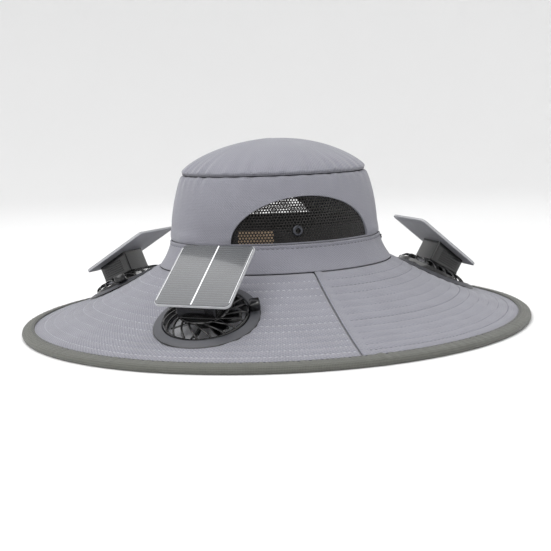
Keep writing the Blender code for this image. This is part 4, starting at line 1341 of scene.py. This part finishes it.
def build_stage(stage):
    """Pale floor that curves up into a backdrop, soft light, and the camera."""
    profile = [(0.0, 0.0), (1.6, 0.0)]
    profile += [(1.6 + 1.4 * math.sin(t), 1.4 - 1.4 * math.cos(t)) for t in spread(0.1, math.pi / 2, 14)]
    profile += [(3.0, 3.2)]
    turns = round_angles(64)
    radius, height = np.array(profile).T
    points = np.stack(np.broadcast_arrays(
        radius[:, None] * np.cos(turns), radius[:, None] * np.sin(turns), height[:, None]), axis=-1)
    floor = bpy.data.objects.new("studio_floor", grid_mesh("studio_floor", points, wrap=True))
    bpy.context.scene.collection.objects.link(floor)
    material, tree, shader = new_material("painted_floor", Roughness=0.9)
    where = add_node(tree, "ShaderNodeTexCoord").outputs["Object"]
    cloud = add_node(tree, "ShaderNodeTexNoise", {"Vector": where, "Scale": 3.0})
    mix = add_node(tree, "ShaderNodeMix", {0: cloud.outputs["Fac"], 6: shade(stage.floor, 0.985),
                                           7: shade(stage.floor, 1.0)}, data_type="RGBA")
    tree.links.new(mix.outputs[2], shader.inputs["Base Color"])
    floor.data.materials.append(material)

    # Name, place, size in metres and power of each softbox; all aim at the crown
    lights = (
        ("overhead_softbox", (-0.15, -0.35, 1.75), 1.7, 19.0),
        ("front_softbox", (1.0, -1.35, 1.15), 1.0, 9.0),
        ("back_softbox", (0.9, 1.4, 0.9), 0.8, 2.5),
    )
    for name, place, size, power in lights:
        light = bpy.data.lights.new(name, "AREA")
        light.size = size
        light.energy = power
        lamp = bpy.data.objects.new(name, light)
        lamp.location = place
        lamp.rotation_euler = (Vector((0, 0, 0.08)) - Vector(place)).to_track_quat("-Z", "Y").to_euler()
        bpy.context.scene.collection.objects.link(lamp)
    world = bpy.data.worlds.new("studio")
    world.use_nodes = True
    background = world.node_tree.nodes["Background"]
    background.inputs["Color"].default_value = (1.0, 1.0, 1.0, 1.0)
    background.inputs["Strength"].default_value = 0.75
    bpy.context.scene.world = world
    bpy.context.scene.view_settings.view_transform = "Standard"

    a, e, r = stage.azimuth, stage.elevation, stage.roll
    back = Vector((math.sin(a) * math.cos(e), -math.cos(a) * math.cos(e), math.sin(e)))
    right = Vector((math.cos(a), math.sin(a), 0.0))
    up = back.cross(right)
    axes = (right * math.cos(r) + up * math.sin(r), up * math.cos(r) - right * math.sin(r), back)
    pose = Matrix(axes).transposed().to_4x4()
    pose.translation = right * stage.target_side + Vector((0, 0, stage.target_height)) + back * stage.distance
    camera = bpy.data.objects.new("camera", bpy.data.cameras.new("camera"))
    camera.data.lens = stage.lens
    camera.data.sensor_width = 36.0
    camera.data.sensor_fit = "HORIZONTAL"
    camera.data.clip_start = 0.01
    camera.matrix_world = pose
    bpy.context.scene.collection.objects.link(camera)
    bpy.context.scene.camera = camera


# Operators ------------------------------------------------------------------


class HAT_OT_materials(bpy.types.Operator):
    """Make the hat's finishes"""

    bl_idname = "hat.materials"
    bl_label = "Make materials"

    def execute(self, context):
        make_materials(context.scene.hat_colours)
        return {"FINISHED"}


class HAT_OT_crown(bpy.types.Operator):
    """Build the crown's side and its puffed top"""

    bl_idname = "hat.crown"
    bl_label = "Build crown"

    def execute(self, context):
        build_crown(context.scene.hat_sizes)
        return {"FINISHED"}


class HAT_OT_band(bpy.types.Operator):
    """Build the band, the sweatband and the cord toggle"""

    bl_idname = "hat.band"
    bl_label = "Build band"

    def execute(self, context):
        build_band(context.scene.hat_sizes, context.scene.hat_sewing)
        build_toggle()
        return {"FINISHED"}


class HAT_OT_vents(bpy.types.Operator):
    """Build the nets, hems and eyelets of the vents"""

    bl_idname = "hat.vents"
    bl_label = "Build vents"

    def execute(self, context):
        build_vents(context.scene.hat_sizes, context.scene.hat_sewing)
        return {"FINISHED"}


class HAT_OT_brim(bpy.types.Operator):
    """Build the quilted brim and its edge tape"""

    bl_idname = "hat.brim"
    bl_label = "Build brim"

    def execute(self, context):
        scene = context.scene
        build_brim(scene.hat_sizes, scene.hat_sewing, scene.hat_fan)
        build_binding(scene.hat_sizes, scene.hat_sewing)
        return {"FINISHED"}


class HAT_OT_fans(bpy.types.Operator):
    """Build the three fan units with their solar panels"""

    bl_idname = "hat.fans"
    bl_label = "Build fan units"

    def execute(self, context):
        sizes, fan = context.scene.hat_sizes, context.scene.hat_fan
        shared = {
            "cage": cage_mesh(fan),
            "impeller": impeller_mesh(fan),
            "housing": housing_mesh(fan),
            "painted_light_gauze": painted_light_gauze_mesh(fan),
            "port": port_mesh(),
        }
        for unit in FAN_UNITS:
            build_unit(sizes, fan, unit, shared)
        return {"FINISHED"}


class HAT_OT_stage(bpy.types.Operator):
    """Build the studio floor, the lights and the camera"""

    bl_idname = "hat.stage"
    bl_label = "Build stage"

    def execute(self, context):
        build_stage(context.scene.hat_stage)
        return {"FINISHED"}


OPERATORS = (
    HAT_OT_materials, HAT_OT_crown, HAT_OT_band, HAT_OT_vents, HAT_OT_brim, HAT_OT_fans, HAT_OT_stage,
)
GROUPS = {
    "hat_sizes": HatSizes,
    "hat_sewing": StitchSizes,
    "hat_fan": FanSizes,
    "hat_colours": HatColours,
    "hat_stage": StageSettings,
}


class HAT_PT_build(bpy.types.Panel):
    """Lists the hat's building steps in the sidebar"""

    bl_idname = "HAT_PT_build"
    bl_label = "Solar fan hat"
    bl_space_type = "VIEW_3D"
    bl_region_type = "UI"
    bl_category = "Hat"

    def draw(self, context):
        for operator in OPERATORS:
            self.layout.operator(operator.bl_idname)


def register():
    for group in (*GROUPS.values(), *OPERATORS, HAT_PT_build):
        bpy.utils.register_class(group)
    for name, group in GROUPS.items():
        setattr(bpy.types.Scene, name, PointerProperty(type=group))


def unregister():
    for name in GROUPS:
        delattr(bpy.types.Scene, name)
    for group in reversed((*GROUPS.values(), *OPERATORS, HAT_PT_build)):
        bpy.utils.unregister_class(group)


def main():
    register()
    bpy.ops.hat.materials()
    bpy.ops.hat.crown()
    bpy.ops.hat.band()
    bpy.ops.hat.vents()
    bpy.ops.hat.brim()
    bpy.ops.hat.fans()
    bpy.ops.hat.stage()


if __name__ == "__main__":
    main()
